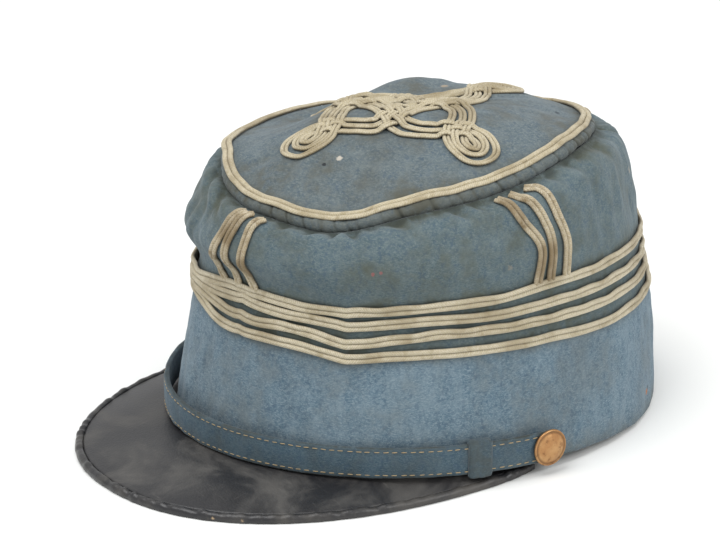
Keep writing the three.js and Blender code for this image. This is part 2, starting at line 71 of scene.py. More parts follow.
# %% [markdown]
# ## Camera
# A long lens far away keeps the cap's outline close to a drawing of it, with little
# perspective. The camera is placed by two angles and a distance round a point inside the
# cap, so its direction is easy to read: it looks from the wearer's left front, and down.

# %% Camera
CAMERA = {"azimuth": 53, "elevation": 21, "distance": 1.5, "lens": 186, "film": 36}
AIM_OFFSET = Vector((-0.0142, 0.0052, -0.0095))  # from the middle of the cap's box

low_corner, high_corner = (Vector(corner) for corner in cad_box)
box_middle = (low_corner + high_corner) / 2
aim = box_middle + AIM_OFFSET


def direction(azimuth, elevation):
    """The way from the cap to a place round it: azimuth 0 is in front of the peak."""
    around, above = math.radians(azimuth), math.radians(elevation)
    level = math.cos(above)
    return Vector((level * math.sin(around), -level * math.cos(around), math.sin(above)))


def turned_to(place, target):
    """A matrix that puts a camera or lamp at a place and turns it to a target."""
    back = (place - target).normalized()
    right = Vector((0, 0, 1)).cross(back).normalized()
    up = back.cross(right)
    turn = Matrix((right, up, back)).transposed().to_4x4()
    return Matrix.Translation(place) @ turn


camera_data = bpy.data.cameras.new("studio_camera")
camera_data.lens = CAMERA["lens"]
camera_data.sensor_width = CAMERA["film"]
camera_data.clip_end = 50
camera = bpy.data.objects.new("studio_camera", camera_data)
camera_place = aim + direction(CAMERA["azimuth"], CAMERA["elevation"]) * CAMERA["distance"]
camera.matrix_world = turned_to(camera_place, aim)
bpy.context.scene.collection.objects.link(camera)
bpy.context.scene.camera = camera
print("camera at", [round(v, 3) for v in camera_place])

# %% [markdown]
# ## Node boards
# Materials are written as small wiring plans. The Board below adds nodes and joins them, so
# that a material reads as a list of steps. A plain number given to an input is set on the
# socket itself, and a socket is linked.

# %% Node board
class Board:
    """Adds nodes to one tree and wires them."""

    def __init__(self, tree):
        self.tree = tree

    def feed(self, socket, value):
        if isinstance(value, bpy.types.NodeSocket):
            self.tree.links.new(value, socket)
        else:
            socket.default_value = value

    def feed_all(self, sockets, values):
        for key, value in values.items():
            self.feed(sockets[key], value)

    def node(self, kind, inputs=None, **settings):
        made = self.tree.nodes.new(kind)
        for name, value in settings.items():
            setattr(made, name, value)
        self.feed_all(made.inputs, inputs or {})
        return made

    def math(self, operation, a, b=0.0, clamped=False):
        made = self.node("ShaderNodeMath", {0: a, 1: b}, operation=operation)
        made.use_clamp = clamped
        return made.outputs[0]

    def times(self, a, b):
        return self.math("MULTIPLY", a, b)

    def plus(self, a, b):
        return self.math("ADD", a, b)

    def mix(self, share, a, b):
        return self.node("ShaderNodeMix", {0: share, 6: a, 7: b}, data_type="RGBA").outputs[2]

    def spread(self, value, low, high, to_low=0.0, to_high=1.0):
        inputs = {0: value, 1: low, 2: high, 3: to_low, 4: to_high}
        return self.node("ShaderNodeMapRange", inputs, interpolation_type="SMOOTHSTEP").outputs[0]

    def layer(self, shade, value, low, high, share, color):
        """Lays a colour over a shade, more and more as the value goes from low to high."""
        return self.mix(self.times(self.spread(value, low, high), share), shade, color)

    def noise(self, vector, scale, detail=3.0, roughness=0.55, distortion=0.0):
        inputs = {"Vector": vector, "Scale": scale, "Detail": detail}
        inputs.update({"Roughness": roughness, "Distortion": distortion})
        return self.node("ShaderNodeTexNoise", inputs).outputs[0]

    def place(self):
        return self.node("ShaderNodeTexCoord").outputs["Object"]

    def stretched(self, vector, scale, turn=(0.0, 0.0, 0.0)):
        inputs = {"Vector": vector, "Scale": scale, "Rotation": turn}
        return self.node("ShaderNodeMapping", inputs).outputs[0]

    def mark(self, name):
        return self.node("ShaderNodeAttribute", attribute_name=name).outputs["Fac"]

    def bump(self, height, strength, distance):
        inputs = {"Height": height, "Strength": strength, "Distance": distance}
        return self.node("ShaderNodeBump", inputs).outputs[0]


def new_group(name, inputs, outputs):
    """A shader node group with named sockets, and a board to wire it on."""
    tree = bpy.data.node_groups.new(name, "ShaderNodeTree")
    kinds = {"color": "NodeSocketColor", "value": "NodeSocketFloat", "vector": "NodeSocketVector"}
    for label, (kind, value) in inputs.items():
        socket = tree.interface.new_socket(label, in_out="INPUT", socket_type=kinds[kind])
        socket.default_value = value
    for label, kind in outputs.items():
        tree.interface.new_socket(label, in_out="OUTPUT", socket_type=kinds[kind])
    board = Board(tree)
    return tree, board, board.node("NodeGroupInput").outputs, board.node("NodeGroupOutput").inputs


def new_material(name):
    """A material with its Principled shader, and a board to wire it on."""
    material = bpy.data.materials.new(name)
    material.use_nodes = True
    board = Board(material.node_tree)
    return material, board, material.node_tree.nodes["Principled BSDF"].inputs


def wire_surface(board, shader, color, made, values=None):
    """Feeds the Principled shader a colour, a group's roughness and normal, and plain values."""
    surface = {"Base Color": color, "Roughness": made["Roughness"], "Normal": made["Normal"]}
    board.feed_all(shader, {**surface, **(values or {})})


def use_group(board, tree, inputs):
    return board.node("ShaderNodeGroup", inputs, node_tree=tree).outputs


# %% [markdown]
# ## Floor and light
# The cap stands on a pale table in a light tent. A bright even surround makes soft, short
# shadows, and two large lamps give the cloth its shape: a broad one above the front and a
# weaker one on the wearer's left. A single hard lamp would show the folds too strongly.

# %% Floor and light
FLOOR_SIZE = 14.0
LAMPS = [
    {"name": "top_lamp", "azimuth": 5, "elevation": 66, "distance": 1.5, "size": 1.1, "watts": 15.5},
    {"name": "side_lamp", "azimuth": 110, "elevation": 32, "distance": 1.7, "size": 0.9, "watts": 10},
]
SURROUND = 0.80

scene = bpy.context.scene
scene.view_settings.view_transform = "Standard"
world = bpy.data.worlds.new("light_tent")
scene.world = world
world.use_nodes = True
world.node_tree.nodes["Background"].inputs["Color"].default_value = (1.0, 1.0, 1.0, 1)
world.node_tree.nodes["Background"].inputs["Strength"].default_value = SURROUND

for lamp in LAMPS:
    data = bpy.data.lights.new(lamp["name"], "AREA")
    data.size = lamp["size"]
    data.energy = lamp["watts"]
    lamp_object = bpy.data.objects.new(lamp["name"], data)
    lamp_place = box_middle + direction(lamp["azimuth"], lamp["elevation"]) * lamp["distance"]
    lamp_object.matrix_world = turned_to(lamp_place, box_middle)
    scene.collection.objects.link(lamp_object)

half_floor = FLOOR_SIZE / 2
floor_mesh = bpy.data.meshes.new("table")
floor_corners = [(x * half_floor, y * half_floor, 0) for x, y in ((-1, -1), (1, -1), (1, 1), (-1, 1))]
floor_mesh.from_pydata(floor_corners, [], [(0, 1, 2, 3)])
table = bpy.data.objects.new("table", floor_mesh)
scene.collection.objects.link(table)
table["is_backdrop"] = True

floor_paint, board, shader = new_material("pale table paint")
paint_tone = board.noise(board.place(), 3.0)
paint = board.mix(paint_tone, (0.86, 0.87, 0.855, 1), (0.88, 0.885, 0.875, 1))
board.feed_all(shader, {"Base Color": paint, "Roughness": 0.7, "Specular IOR Level": 0.2})
table.data.materials.append(floor_paint)
print("lamps", [lamp["name"] for lamp in LAMPS])

# %% [markdown]
# ## The form of the cap
# A cap is a cloth wall, so any point of it has two natural addresses: an angle round the
# head, and a level measured up the cloth from the rim. The table gives the oval of the plan
# and the height of the cloth at a few levels, a smooth curve runs through each column, and
# a second table adds the sags and folds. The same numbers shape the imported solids, so
# pieces made from them fit without any adjustment.

# %% Tables of the wall
WALL_COLUMNS = ("half_width", "half_length", "centre_y", "front", "side", "back")
WALL = {
    0: (86.5, 103.5, 0.5, 8, 4.5, -1.5),
    26: (85.3, 100, 1.5, 33, 29.8, 26),
    52: (83.4, 95.8, 2, 58, 55, 50),
    72: (82.3, 92.6, 0.3, 77.5, 75.8, 72.5),
    83: (82.8, 93, -3.4, 86, 88, 87),
    96: (80.5, 90, -4.4, 95, 100, 101),
    108: (75.5, 85.8, -4.8, 101.5, 111, 113),
    118: (67, 78, -6, 100.5, 113.8, 115),
}
FOLD_COLUMNS = ("angle", "level", "wide", "tall", "push", "lift")
FOLDS = {
    "front waist": (-4, 70, 24, 12, -1.5, 0),
    "front bulge": (-20, 84, 30, 8, 1.5, 0),
    "pinched rows": (-34, 72, 22, 14, -0.6, -6.5),
    "row dip": (40, 62, 14, 22, 0, -4),
    "front left top sag": (36, 118, 18, 16, 0, -5),
    "left top sag": (80, 118, 24, 16, 0, -2.4),
    "back left top lift": (122, 118, 20, 16, 0, 1.5),
    "right top sag": (-128, 118, 62, 16, 0, -14),
    "front right top lift": (-34, 118, 20, 16, 0, 5),
    "right shoulder": (-50, 103, 30, 16, -4.2, 0),
    "right waist": (-36, 80, 18, 8, 0.5, 0),
    "back left shoulder": (140, 98, 28, 12, 1.2, 0),
    "back left rows": (140, 62, 30, 12, -1, 0),
    "front fold": (-17, 88, 5, 12, -1.6, 0),
    "left fold": (112, 92, 6, 14, -1.4, 0),
    "back left fold": (134, 90, 6, 14, -1.8, 0),
    "back right fold": (-152, 90, 7, 14, -1.6, 0),
    "right fold": (-68, 92, 7, 14, -1.5, 0),
}
SEAM_LEVEL, TOP_ROW_LEVEL, FULL_DEPTH_LEVEL, PIPING_LEVEL = 52, 72, 96, 118  # on the whole
CLOTH = 2.0  # thickness of the wool with its backing
TOP_EDGE = {"half_width": 64, "half_length": 75.5, "centre_y": -6, "rise": 5.4}
DOME = {"height": 19.7, "fullness": 2.2}
TOP_DENTS = [  # x, y, width, length and lift
    (-36, -46, 26, 24, -5),
    (-14, 10, 28, 25, -7),
    (-43, 32, 16, 28, 8),
    (0, 44, 26, 20, 3),
    (-48, -12, 17, 24, -9),
    (24, 56, 34, 26, -3.5),
]

# the cap's own zero lies behind the box's middle, by what the band's back edge shows
back_of_band = WALL[0][2] + WALL[0][1]
FRAME_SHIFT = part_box("band")[1][1] / METRE - back_of_band
print("frame shift, mm", round(FRAME_SHIFT, 2))


# %% Smooth curves and bells
def named_rows(columns, table):
    return [dict(zip(columns, row)) for row in table]


def bell(distance, reach):
    return np.exp(-((distance / reach) ** 2))


def turn_between(a, b):
    return (a - b + 180) % 360 - 180


def ease(value, low, high):
    share = np.clip((value - low) / (high - low), 0, 1)
    return share * share * (3 - 2 * share)


def smooth_through(keys, values, at):
    """A smooth curve through every key and value."""
    keys, values = np.asarray(keys, float), np.asarray(values, float)
    at = np.clip(at, keys[0], keys[-1])
    gaps, slopes = np.diff(keys), np.diff(values) / np.diff(keys)
    tangents = np.empty_like(values)
    tangents[0], tangents[-1] = slopes[0], slopes[-1]
    tangents[1:-1] = (slopes[1:] * gaps[:-1] + slopes[:-1] * gaps[1:]) / (gaps[:-1] + gaps[1:])
    i = np.clip(np.searchsorted(keys, at, side="right") - 1, 0, len(keys) - 2)
    u = (at - keys[i]) / gaps[i]
    rest = 1 - u
    start = values[i] * (1 + 2 * u) * rest**2 + tangents[i] * gaps[i] * u * rest**2
    return start + values[i + 1] * u**2 * (3 - 2 * u) - tangents[i + 1] * gaps[i] * u**2 * rest


# %% Points of the wall
def wall_column(name, level):
    index = WALL_COLUMNS.index(name)
    return smooth_through(list(WALL), [row[index] for row in WALL.values()], level)


def free_wall(angle, level):
    """The outer surface of the wall, before the table presses the back of its rim flat."""
    angle, level = np.broadcast_arrays(np.asarray(angle, float), np.asarray(level, float))
    columns = {name: wall_column(name, level) for name in WALL_COLUMNS}
    front, side, back = columns["front"], columns["side"], columns["back"]
    turn = np.radians(angle)
    height = (front + back + 2 * side) / 4 + (front - back) / 2 * np.cos(turn)
    height = height + (front + back - 2 * side) / 4 * np.cos(2 * turn)
    push = np.zeros_like(height)
    for fold in named_rows(FOLD_COLUMNS, FOLDS.values()):
        near = bell(turn_between(angle, fold["angle"]), fold["wide"])
        near = near * bell(level - fold["level"], fold["tall"])
        push = push + fold["push"] * near
        height = height + fold["lift"] * near
    out_x = columns["half_length"] * np.sin(turn)
    out_y = -columns["half_width"] * np.cos(turn)
    size = np.hypot(out_x, out_y)
    x = columns["half_width"] * np.sin(turn) + push * out_x / size
    y = columns["centre_y"] - columns["half_length"] * np.cos(turn) + push * out_y / size
    return np.stack([x, y, height], -1)


def unit(vectors):
    return vectors / np.linalg.norm(vectors, axis=-1, keepdims=True)


def way_round(line):
    """The direction of a closed line at each of its points."""
    return unit(np.roll(line, -1, axis=0) - np.roll(line, 1, axis=0))


def way_between(plan, origin, turn):
    """A plan point's distance along a turned line through the origin, and beside it."""
    x, y = plan[0] - origin[0], plan[1] - origin[1]
    lean = math.radians(turn)
    return x * math.cos(lean) + y * math.sin(lean), y * math.cos(lean) - x * math.sin(lean)


def valley(along, beside, crease, ridge):
    """A crease: a valley, with a ridge half as high beside it. Ridge is its relative width."""
    near = bell(along, crease["long"]) * crease["deep"]
    sunk = near * bell(beside, crease["wide"])
    return 0.5 * near * bell(beside - 2 * crease["wide"], ridge * crease["wide"]) - sunk


def wall_point(angle, level):
    point = free_wall(angle, level)
    point[..., 2] = np.maximum(point[..., 2], 0)
    return point


def wall_ways(angle, level):
    """The wall's own directions at a point: along it, up it and out of it."""
    along = unit(free_wall(angle + 1, level) - free_wall(angle - 1, level))
    up = unit(free_wall(angle, level + 0.5) - free_wall(angle, level - 0.5))
    return along, up, unit(np.cross(along, up))


def off_wall(angle, level, distance):
    """A point of the wall moved out of it. Low on the wall the move is level."""
    out = wall_ways(angle, level)[2]
    out[..., 2] = out[..., 2] * ease(level, TOP_ROW_LEVEL, FULL_DEPTH_LEVEL)
    return wall_point(angle, level) + unit(out) * np.asarray(distance)[..., None]


# %% Points of the top
def edge_point(angle):
    seam_height = wall_point(angle, PIPING_LEVEL)[..., 2]
    turn = np.radians(angle)
    x = TOP_EDGE["half_width"] * np.sin(turn)
    y = TOP_EDGE["centre_y"] - TOP_EDGE["half_length"] * np.cos(turn)
    return np.stack([x, y, seam_height + TOP_EDGE["rise"]], -1)


edge_height = edge_point(np.arange(0, 360, 7.5))[:, 2].mean()


def top_point(angle, share):
    """The outer surface of the top, from its middle (share 0) to its edge (share 1)."""
    edge = edge_point(angle)
    x = edge[..., 0] * share
    y = TOP_EDGE["centre_y"] + (edge[..., 1] - TOP_EDGE["centre_y"]) * share
    height = edge_height + (edge[..., 2] - edge_height) * share**2
    height = height + DOME["height"] * (1 - share ** DOME["fullness"])
    for dent_x, dent_y, wide, long, lift in TOP_DENTS:
        near = bell(x - dent_x, wide) * bell(y - dent_y, long)
        height = height + lift * near * (1 - share**6)
    return np.stack([x, y, height], -1)


# %% [markdown]
# ## Making meshes
# Every cloth piece here is a closed body, as the real one has two faces and an edge. Most of
# them are a row of rings joined one to the next, which one function can build: a wall is
# rings standing round the head, a braid is small rings strung along a line.
# Numbers that belong to the surface, such as how soiled it is and how much shade is painted
# on it, are stored on its points and read by the materials.

# %% Mesh maker
parts_made = {}


def in_metres(points):
    return (points + np.array([0, FRAME_SHIFT, 0])) * METRE


def finish_piece(name, points, faces, marks=None, corner_lay=None):
    """One smooth object from points in millimetres, with the marks its material reads."""
    mesh = bpy.data.meshes.new(name)
    mesh.from_pydata(in_metres(points).tolist(), [], faces)
    mesh.polygons.foreach_set("use_smooth", [True] * len(mesh.polygons))
    for label, values in (marks or {}).items():
        layer = mesh.attributes.new(label, "FLOAT", "POINT")
        layer.data.foreach_set("value", np.asarray(values, np.float32).ravel())
    if corner_lay is not None:
        layer = mesh.uv_layers.new(name="lay")
        layer.data.foreach_set("uv", np.asarray(corner_lay, np.float32).ravel())
    made = bpy.data.objects.new(name, mesh)
    scene.collection.objects.link(made)
    parts_made[name] = made
    return made


def ring_faces(count, size, looped, closed=True):
    """Quads between neighbouring rings. Rings that aren't closed run out from a middle."""
    here = np.arange(count if looped else count - 1)[:, None]
    i = np.arange(size if closed else size - 1)
    corners = [(here, i), (here, i + 1), (here + 1, i + 1), (here + 1, i)]
    return np.stack([(ring % count * size + k % size).ravel() for ring, k in corners], -1)


def facing_out(points, quads):
    """1 if the quads face out of their body and -1 if they face in, by the volume inside."""
    a, b, c, d = np.moveaxis(points[quads] - points.mean(0), 1, 0)
    return 1 if np.einsum("ij,ij->", a, np.cross(b, c) + np.cross(c, d)) > 0 else -1


def ring_body(name, rings, looped, marks=None, lay=None):
    """A closed body through rings of points. Lay gives each point's place on the strip."""
    count, size = rings.shape[:2]
    points = rings.reshape(-1, 3)
    quads = ring_faces(count, size, looped)
    order = facing_out(points, quads)
    faces = quads[:, ::order].tolist()
    if not looped:  # flat ends
        first = np.arange(size)
        faces += [first[::-order].tolist(), (first + (count - 1) * size)[::order].tolist()]
    corner_lay = None
    if lay is not None:
        ring_at = quads // size
        if looped:  # the last stretch runs on instead of jumping back
            ring_at[ring_at[:, 0] == count - 1, 2:] = count
        corner_lay = np.stack([lay[0][ring_at], lay[1][quads % size]], -1)[:, ::order]
        end_lay = np.zeros((0 if looped else 2 * size, 2))
        corner_lay = np.concatenate([corner_lay.reshape(-1, 2), end_lay])
    return finish_piece(name, points, faces, marks, corner_lay)


def off_line(way, amount):
    """The direction at each station, times an amount for each point of the ring there."""
    return way[:, None, :] * amount[..., None]


def dress(piece, slot, material, *nodes):
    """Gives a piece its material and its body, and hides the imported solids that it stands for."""
    piece.data.materials.clear()
    piece.data.materials.append(material)
    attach(piece, "root")
    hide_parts(*nodes)
    triangles = sum(len(face.vertices) - 2 for face in piece.data.polygons)
    print(f"{piece.name}: {triangles} triangles")


# %% [markdown]
# ## How old wool lies
# Cloth that has been worn is never a clean surface. Three things shape it here: long soft
# waves left by handling, small gathers where the turban is eased into the piped seam, and
# the pull of the braid, which sinks into the cloth wherever it is sewn on. Adding them as
# one relief, in millimetres along the cloth's own direction, lets every piece on the cap
# follow the same surface. Bump alone would leave the outline too clean.

# %% Soft waves
def wave_table(count, rounds, steepness):
    """Random waves that close on themselves round the cap."""
    return {
        "around": rng.integers(rounds[0], rounds[1], count),
        "up": rng.uniform(-steepness, steepness, count),
        "start": rng.uniform(0, 2 * np.pi, count),
    }


def waves(angle, level, table):
    total = np.zeros(np.broadcast(angle, level).shape)
    for around, up, start in zip(table["around"], table["up"], table["start"]):
        total = total + np.sin(np.radians(angle) * around + level * up + start)
    return total / math.sqrt(len(table["around"]) / 2)


LONG_WAVES = wave_table(14, (3, 14), 0.06)
SHORT_WAVES = wave_table(26, (18, 60), 0.35)
FINE_WAVES = wave_table(40, (70, 200), 1.1)

# %% Gathers under the piping
GATHER_COLUMNS = ("angle", "deep", "wide", "foot", "lean")
SEEN_GATHERS = [
    (-40, 0.9, 2.4, 98, 0.3),
    (-27, 1.3, 2.0, 92, 0.5),
    (-15, 1.4, 2.2, 90, 0.45),
    (18, 1.0, 1.6, 103, 0.0),
    (28, 0.9, 1.4, 106, -0.2),
    (35.5, 1.2, 1.3, 102, -0.15),
    (40, 1.3, 1.5, 100, 0.1),
    (52.5, 1.4, 2.2, 96, 0.35),
    (58, 0.9, 1.6, 104, 0.2),
    (69, 1.3, 1.7, 102, 0.25),
    (76, 0.8, 1.5, 106, 0.1),
    (88.5, 0.9, 1.5, 105, -0.1),
    (101, 1.0, 1.8, 104, 0.15),
    (110, 1.0, 2.0, 103, 0.1),
    (115.5, 0.8, 1.5, 106, -0.1),
    (126, 0.8, 2.3, 102, 0.1),
    (139, 0.7, 2.0, 104, 0.0),
]
hidden_angles = np.arange(150, 315, 9.0)
hidden_angles = hidden_angles + rng.uniform(-3, 3, len(hidden_angles))
HIDDEN_GATHERS = [
    (angle, rng.uniform(0.7, 1.4), rng.uniform(1.4, 2.4), rng.uniform(92, 105), rng.uniform(-0.3, 0.3))
    for angle in hidden_angles
]


def gathers(angle, level):
    """Small folds that run down from the piped seam and die out in the bulge."""
    total = np.zeros(np.broadcast(angle, level).shape)
    for fold in named_rows(GATHER_COLUMNS, SEEN_GATHERS + HIDDEN_GATHERS):
        axis = fold["angle"] + fold["lean"] * (PIPING_LEVEL - level)
        strength = ease(level, fold["foot"], 112) * fold["deep"]
        away = turn_between(angle, axis)
        total = total - strength * bell(away, fold["wide"])
        total = total + 0.45 * strength * bell(np.abs(away) - 2.1 * fold["wide"], fold["wide"])
    return total


# %% Creases of the turban and the pull of the braid
CREASE_COLUMNS = ("angle", "level", "lean", "long", "wide", "deep")
CREASES = [
    (-26, 88, 60, 14, 2.2, 1.0),
    (-21, 82, 64, 12, 1.8, 0.7),
    (-33, 95, 55, 13, 2.4, 0.9),
    (-12, 97, 70, 10, 2.0, 0.8),
    (24, 84, -20, 12, 3.0, 0.5),
    (50, 90, 15, 14, 3.4, 0.5),
    (62, 82, -30, 12, 3.0, 0.45),
    (112, 92, 88, 16, 2.6, 0.5),
    (120, 86, 80, 12, 2.2, 0.3),
    (128, 96, 92, 15, 2.6, 0.45),
    (136, 84, 84, 12, 2.4, 0.4),
    (165, 90, 75, 14, 2.6, 0.8),
    (200, 88, 100, 14, 2.8, 0.9),
    (232, 94, 80, 13, 2.4, 0.8),
    (258, 86, 96, 12, 2.6, 0.8),
    (292, 92, 70, 15, 2.8, 0.9),
    (312, 86, 110, 12, 2.4, 0.8),
]
DEGREE_LENGTH = 1.5  # mm of cloth in one degree round the cap


def creases(angle, level):
    """Short soft creases: a leaning valley with a low ridge beside it."""
    total = np.zeros(np.broadcast(angle, level).shape)
    for crease in named_rows(CREASE_COLUMNS, CREASES):
        across = turn_between(angle, crease["angle"]) * DEGREE_LENGTH
        run, side = way_between((across, level), (0, crease["level"]), crease["lean"])
        total = total + valley(run, side, crease, 1.4)
    return total


def handled(angle, level, free, long, short):
    """Waves of handling where the cloth is free to move, and fine ones all over it."""
    total = free * (long * waves(angle, level, LONG_WAVES) + short * waves(angle, level, SHORT_WAVES))
    return total + 0.035 * waves(angle, level, FINE_WAVES)


def turban_relief(angle, level):
    free = ease(level, TOP_ROW_LEVEL + 2, TOP_ROW_LEVEL + 12) * ease(level, 119, 108)
    relief = handled(angle, level, free, 0.3, 0.16)
    relief = relief + gathers(angle, level) * ease(level, PIPING_LEVEL, PIPING_LEVEL - 3.5)
    relief = relief + creases(angle, level) * free
    return relief + 0.9 * bell(PIPING_LEVEL - level, 2.2)  # pressed up against the roll


def band_relief(angle, level):
    free = ease(level, SEAM_LEVEL, SEAM_LEVEL - 10)
    return handled(angle, level, free, 0.5, 0.13) - 0.3 * bell(level, 4)


def relief_at(angle, level):
    level = np.asarray(level, float)
    return np.where(level > SEAM_LEVEL, turban_relief(angle, level), band_relief(angle, level))


def on_cloth(angle, level, lift):
    """A point above the worn surface of the wall."""
    return off_wall(angle, level, relief_at(angle, level) + lift)


# %% [markdown]
# ## Braid rows: where they lie
# The four rows were sewn on evenly, but the cloth has been crushed on the wearer's right,
# where they now run together, and dented on the left front, where they kink. One function
# gives each row's level at every angle, and the soil and painted shade on the cloth round the rows can
# use it too.

# %% Row levels
ROW_ROUTES = [  # angle, then the levels of the rows from the upper one down
    (-180, 72, 65.3, 58.7, 52),
    (-120, 72, 65.3, 58.7, 52),
    (-80, 65.5, 61.9, 57.6, 53.2),
    (-60, 62.4, 59.6, 56.6, 53.6),
    (-45, 62, 59.3, 56.6, 53.9),
    (-30, 62.3, 59.4, 56.7, 54),
    (-21, 62.6, 59.6, 56.8, 54),
    (-13, 63.6, 60.2, 56.7, 52.8),
    (1.5, 66.2, 61.6, 55.7, 49.6),
    (11, 66, 61.8, 56, 50.1),
    (23.5, 66.6, 62.2, 57.2, 50.9),
    (34, 69.2, 64.3, 57.5, 50.9),
    (48, 70.3, 64.8, 58.5, 51.6),
    (62, 69.6, 63.9, 58.2, 50.9),
    (75, 70.6, 64.2, 58.5, 51),
    (88, 72.4, 65.4, 59.2, 51.4),
    (105, 73, 65.8, 59.2, 50.9),
    (150, 72, 65.3, 58.7, 52),
    (180, 72, 65.3, 58.7, 52),
]
ROW_COUNT = 4
KINKS = [{"angle": 5.5, "rise": 0.7, "wide": 1.3}, {"angle": 37, "rise": -1.0, "wide": 3.0}]
ROW_WANDER, SOIL_AND_SHADE_REACH = 0.14, 3.6
row_wander = [wave_table(10, (3, 26), 0.0) for _ in range(ROW_COUNT)]


def row_level(row, angle):
    """The level of a row: a smooth way through its route, with kinks and a little wander."""
    route = np.array(ROW_ROUTES, float)
    level = smooth_through(route[:, 0], route[:, 1 + row], turn_between(angle, 0))
    for kink in KINKS:
        away = np.abs(turn_between(angle, kink["angle"]))
        level = level + kink["rise"] * np.exp(-away / kink["wide"])
    return level + ROW_WANDER * waves(angle, 0.0, row_wander[row])


# %% Soil and painted shade on the wall
def row_soil_and_shade(angle, level):
    """Dirt that has settled beside the braids, with the shade of the braids painted on the cloth there
    too.
    """
    total = np.zeros(np.broadcast(angle, level).shape)
    for row in range(ROW_COUNT):
        total = np.maximum(total, bell(level - row_level(row, angle), SOIL_AND_SHADE_REACH))
    return total


print("row levels at the front", [round(float(row_level(i, 0.0)), 1) for i in range(ROW_COUNT)])

# %% [markdown]
# ## Band and turban
# Each is one wall of wool. A ring stands at every station round the head: it climbs the
# outer face, turns over the edge in a small round and comes down the inner face. The
# inner face needs far fewer points, because it is plain. The seam between the two runs under
# the fourth braid row, wherever that row goes.

# %% Wall builder
def cloth_wall(name, level_grid, relief, soil_and_shade_at):
    """A closed wall. The grid holds each station's levels, going up."""
    grid_angle = even_angles(len(level_grid))[:, None]
    outer = off_wall(grid_angle, level_grid, relief(grid_angle, level_grid))
    down = np.linspace(1, 0, 14)[None, :]
    inner_levels = level_grid[:, :1] + (level_grid[:, -1:] - level_grid[:, :1]) * down
    inner = off_wall(grid_angle, inner_levels, relief(grid_angle, inner_levels) - CLOTH)
    top_round = (outer[:, -1:] + inner[:, :1]) / 2
    foot_round = (outer[:, :1] + inner[:, -1:]) / 2
    top_round[..., 2] += 0.25 * CLOTH
    foot_round[..., 2] = np.maximum(foot_round[..., 2] - 0.25 * CLOTH, 0)
    rings = np.concatenate([foot_round, outer, top_round, inner], axis=1)
    lowest, highest = level_grid[:, :1], level_grid[:, -1:]
    all_levels = np.concatenate([lowest, level_grid, highest, inner_levels], axis=1)
    marks = {"soil_and_shade": soil_and_shade_at(grid_angle, all_levels), "rub_and_shade": relief(grid_angle, all_levels)}
    return ring_body(name, rings, True, marks)


def even_angles(count):
    return np.arange(count) * 360 / count


# %% Band
SEAM_SLIT = 0.35
BAND_STATIONS, TURBAN_STATIONS = 520, 700


def band_soil_and_shade(angle, level):
    # soil and painted shade along the braid rows, and darker towards the foot of the band
    return np.clip(0.9 * row_soil_and_shade(angle, level) + 0.6 * bell(level, 5.0), 0, 1)


band_seam = row_level(3, even_angles(BAND_STATIONS))[:, None] - SEAM_SLIT
band_shares = np.concatenate([[0, 0.015, 0.035], np.linspace(0.06, 1, 52)])[None, :]
cloth_band = cloth_wall("cloth_band", band_seam * band_shares, band_relief, band_soil_and_shade)

# %% Turban
def turban_soil_and_shade(angle, level):
    # dirt and painted shade in the crevice under the piping roll
    soil_and_shade_under_roll = bell(PIPING_LEVEL - level, 5.0)
    return np.clip(np.maximum(row_soil_and_shade(angle, level), 1.1 * soil_and_shade_under_roll), 0, 1)


turban_seam = row_level(3, even_angles(TURBAN_STATIONS))[:, None]
turban_shares = np.linspace(0, 1, 68)[None, :]
turban_levels = turban_seam + (PIPING_LEVEL - turban_seam) * turban_shares
cloth_turban = cloth_wall("cloth_turban", turban_levels, turban_relief, turban_soil_and_shade)

# %% [markdown]
# ## Top
# The top is a soft oval disc with no stiffener, so it has sunk between the crown of the
# knot and the piped edge. It is made as rings round its middle: an upper face, a
# rounded edge that hides in the seam, and a lower face.

# %% Top
TOP_CREASE_COLUMNS = ("x", "y", "turn", "long", "wide", "deep")
TOP_CREASES = [
    (-14, -70, 50, 12, 3.0, 0.8),
    (4, -66, 100, 14, 3.4, 0.6),
    (34, -50, 140, 18, 4.0, 0.5),
    (52, -18, 80, 16, 4.0, 0.5),
    (20, -30, 35, 16, 5.0, 0.5),
    (-40, 30, 60, 20, 5.0, 0.7),
    (30, 50, 120, 18, 5.0, 0.6),
    (-50, -10, 95, 18, 4.5, 0.6),
]
TOP_WAVES = [wave_table(12, (1, 7), 0.08), wave_table(22, (8, 40), 0.4)]


def top_relief(angle, share):
    x = TOP_EDGE["half_width"] * np.sin(np.radians(angle)) * share
    y = TOP_EDGE["centre_y"] - TOP_EDGE["half_length"] * np.cos(np.radians(angle)) * share
    calm = ease(share, 0.02, 0.3) * ease(share, 1.0, 0.9)
    radius = share * 70
    relief = calm * 0.35 * waves(angle, radius, TOP_WAVES[0])
    relief = relief + calm * ease(share, 0.1, 0.6) * 0.1 * waves(angle, radius, TOP_WAVES[1])
    for crease in named_rows(TOP_CREASE_COLUMNS, TOP_CREASES):
        run, side = way_between((x, y), (crease["x"], crease["y"]), crease["turn"])
        relief = relief + calm * valley(run, side, crease, 1.5)
    return relief


def cloth_top_rings(stations, shares):
    angles = even_angles(stations)[:, None]
    upper = top_point(angles, shares[None, :])
    upper[..., 2] += top_relief(angles, shares[None, :])
    under_shares = shares[::-3]
    lower = top_point(angles, under_shares[None, :])
    lower[..., 2] -= CLOTH
    marks = np.concatenate([shares, under_shares])
    return np.concatenate([upper, lower], axis=1), marks


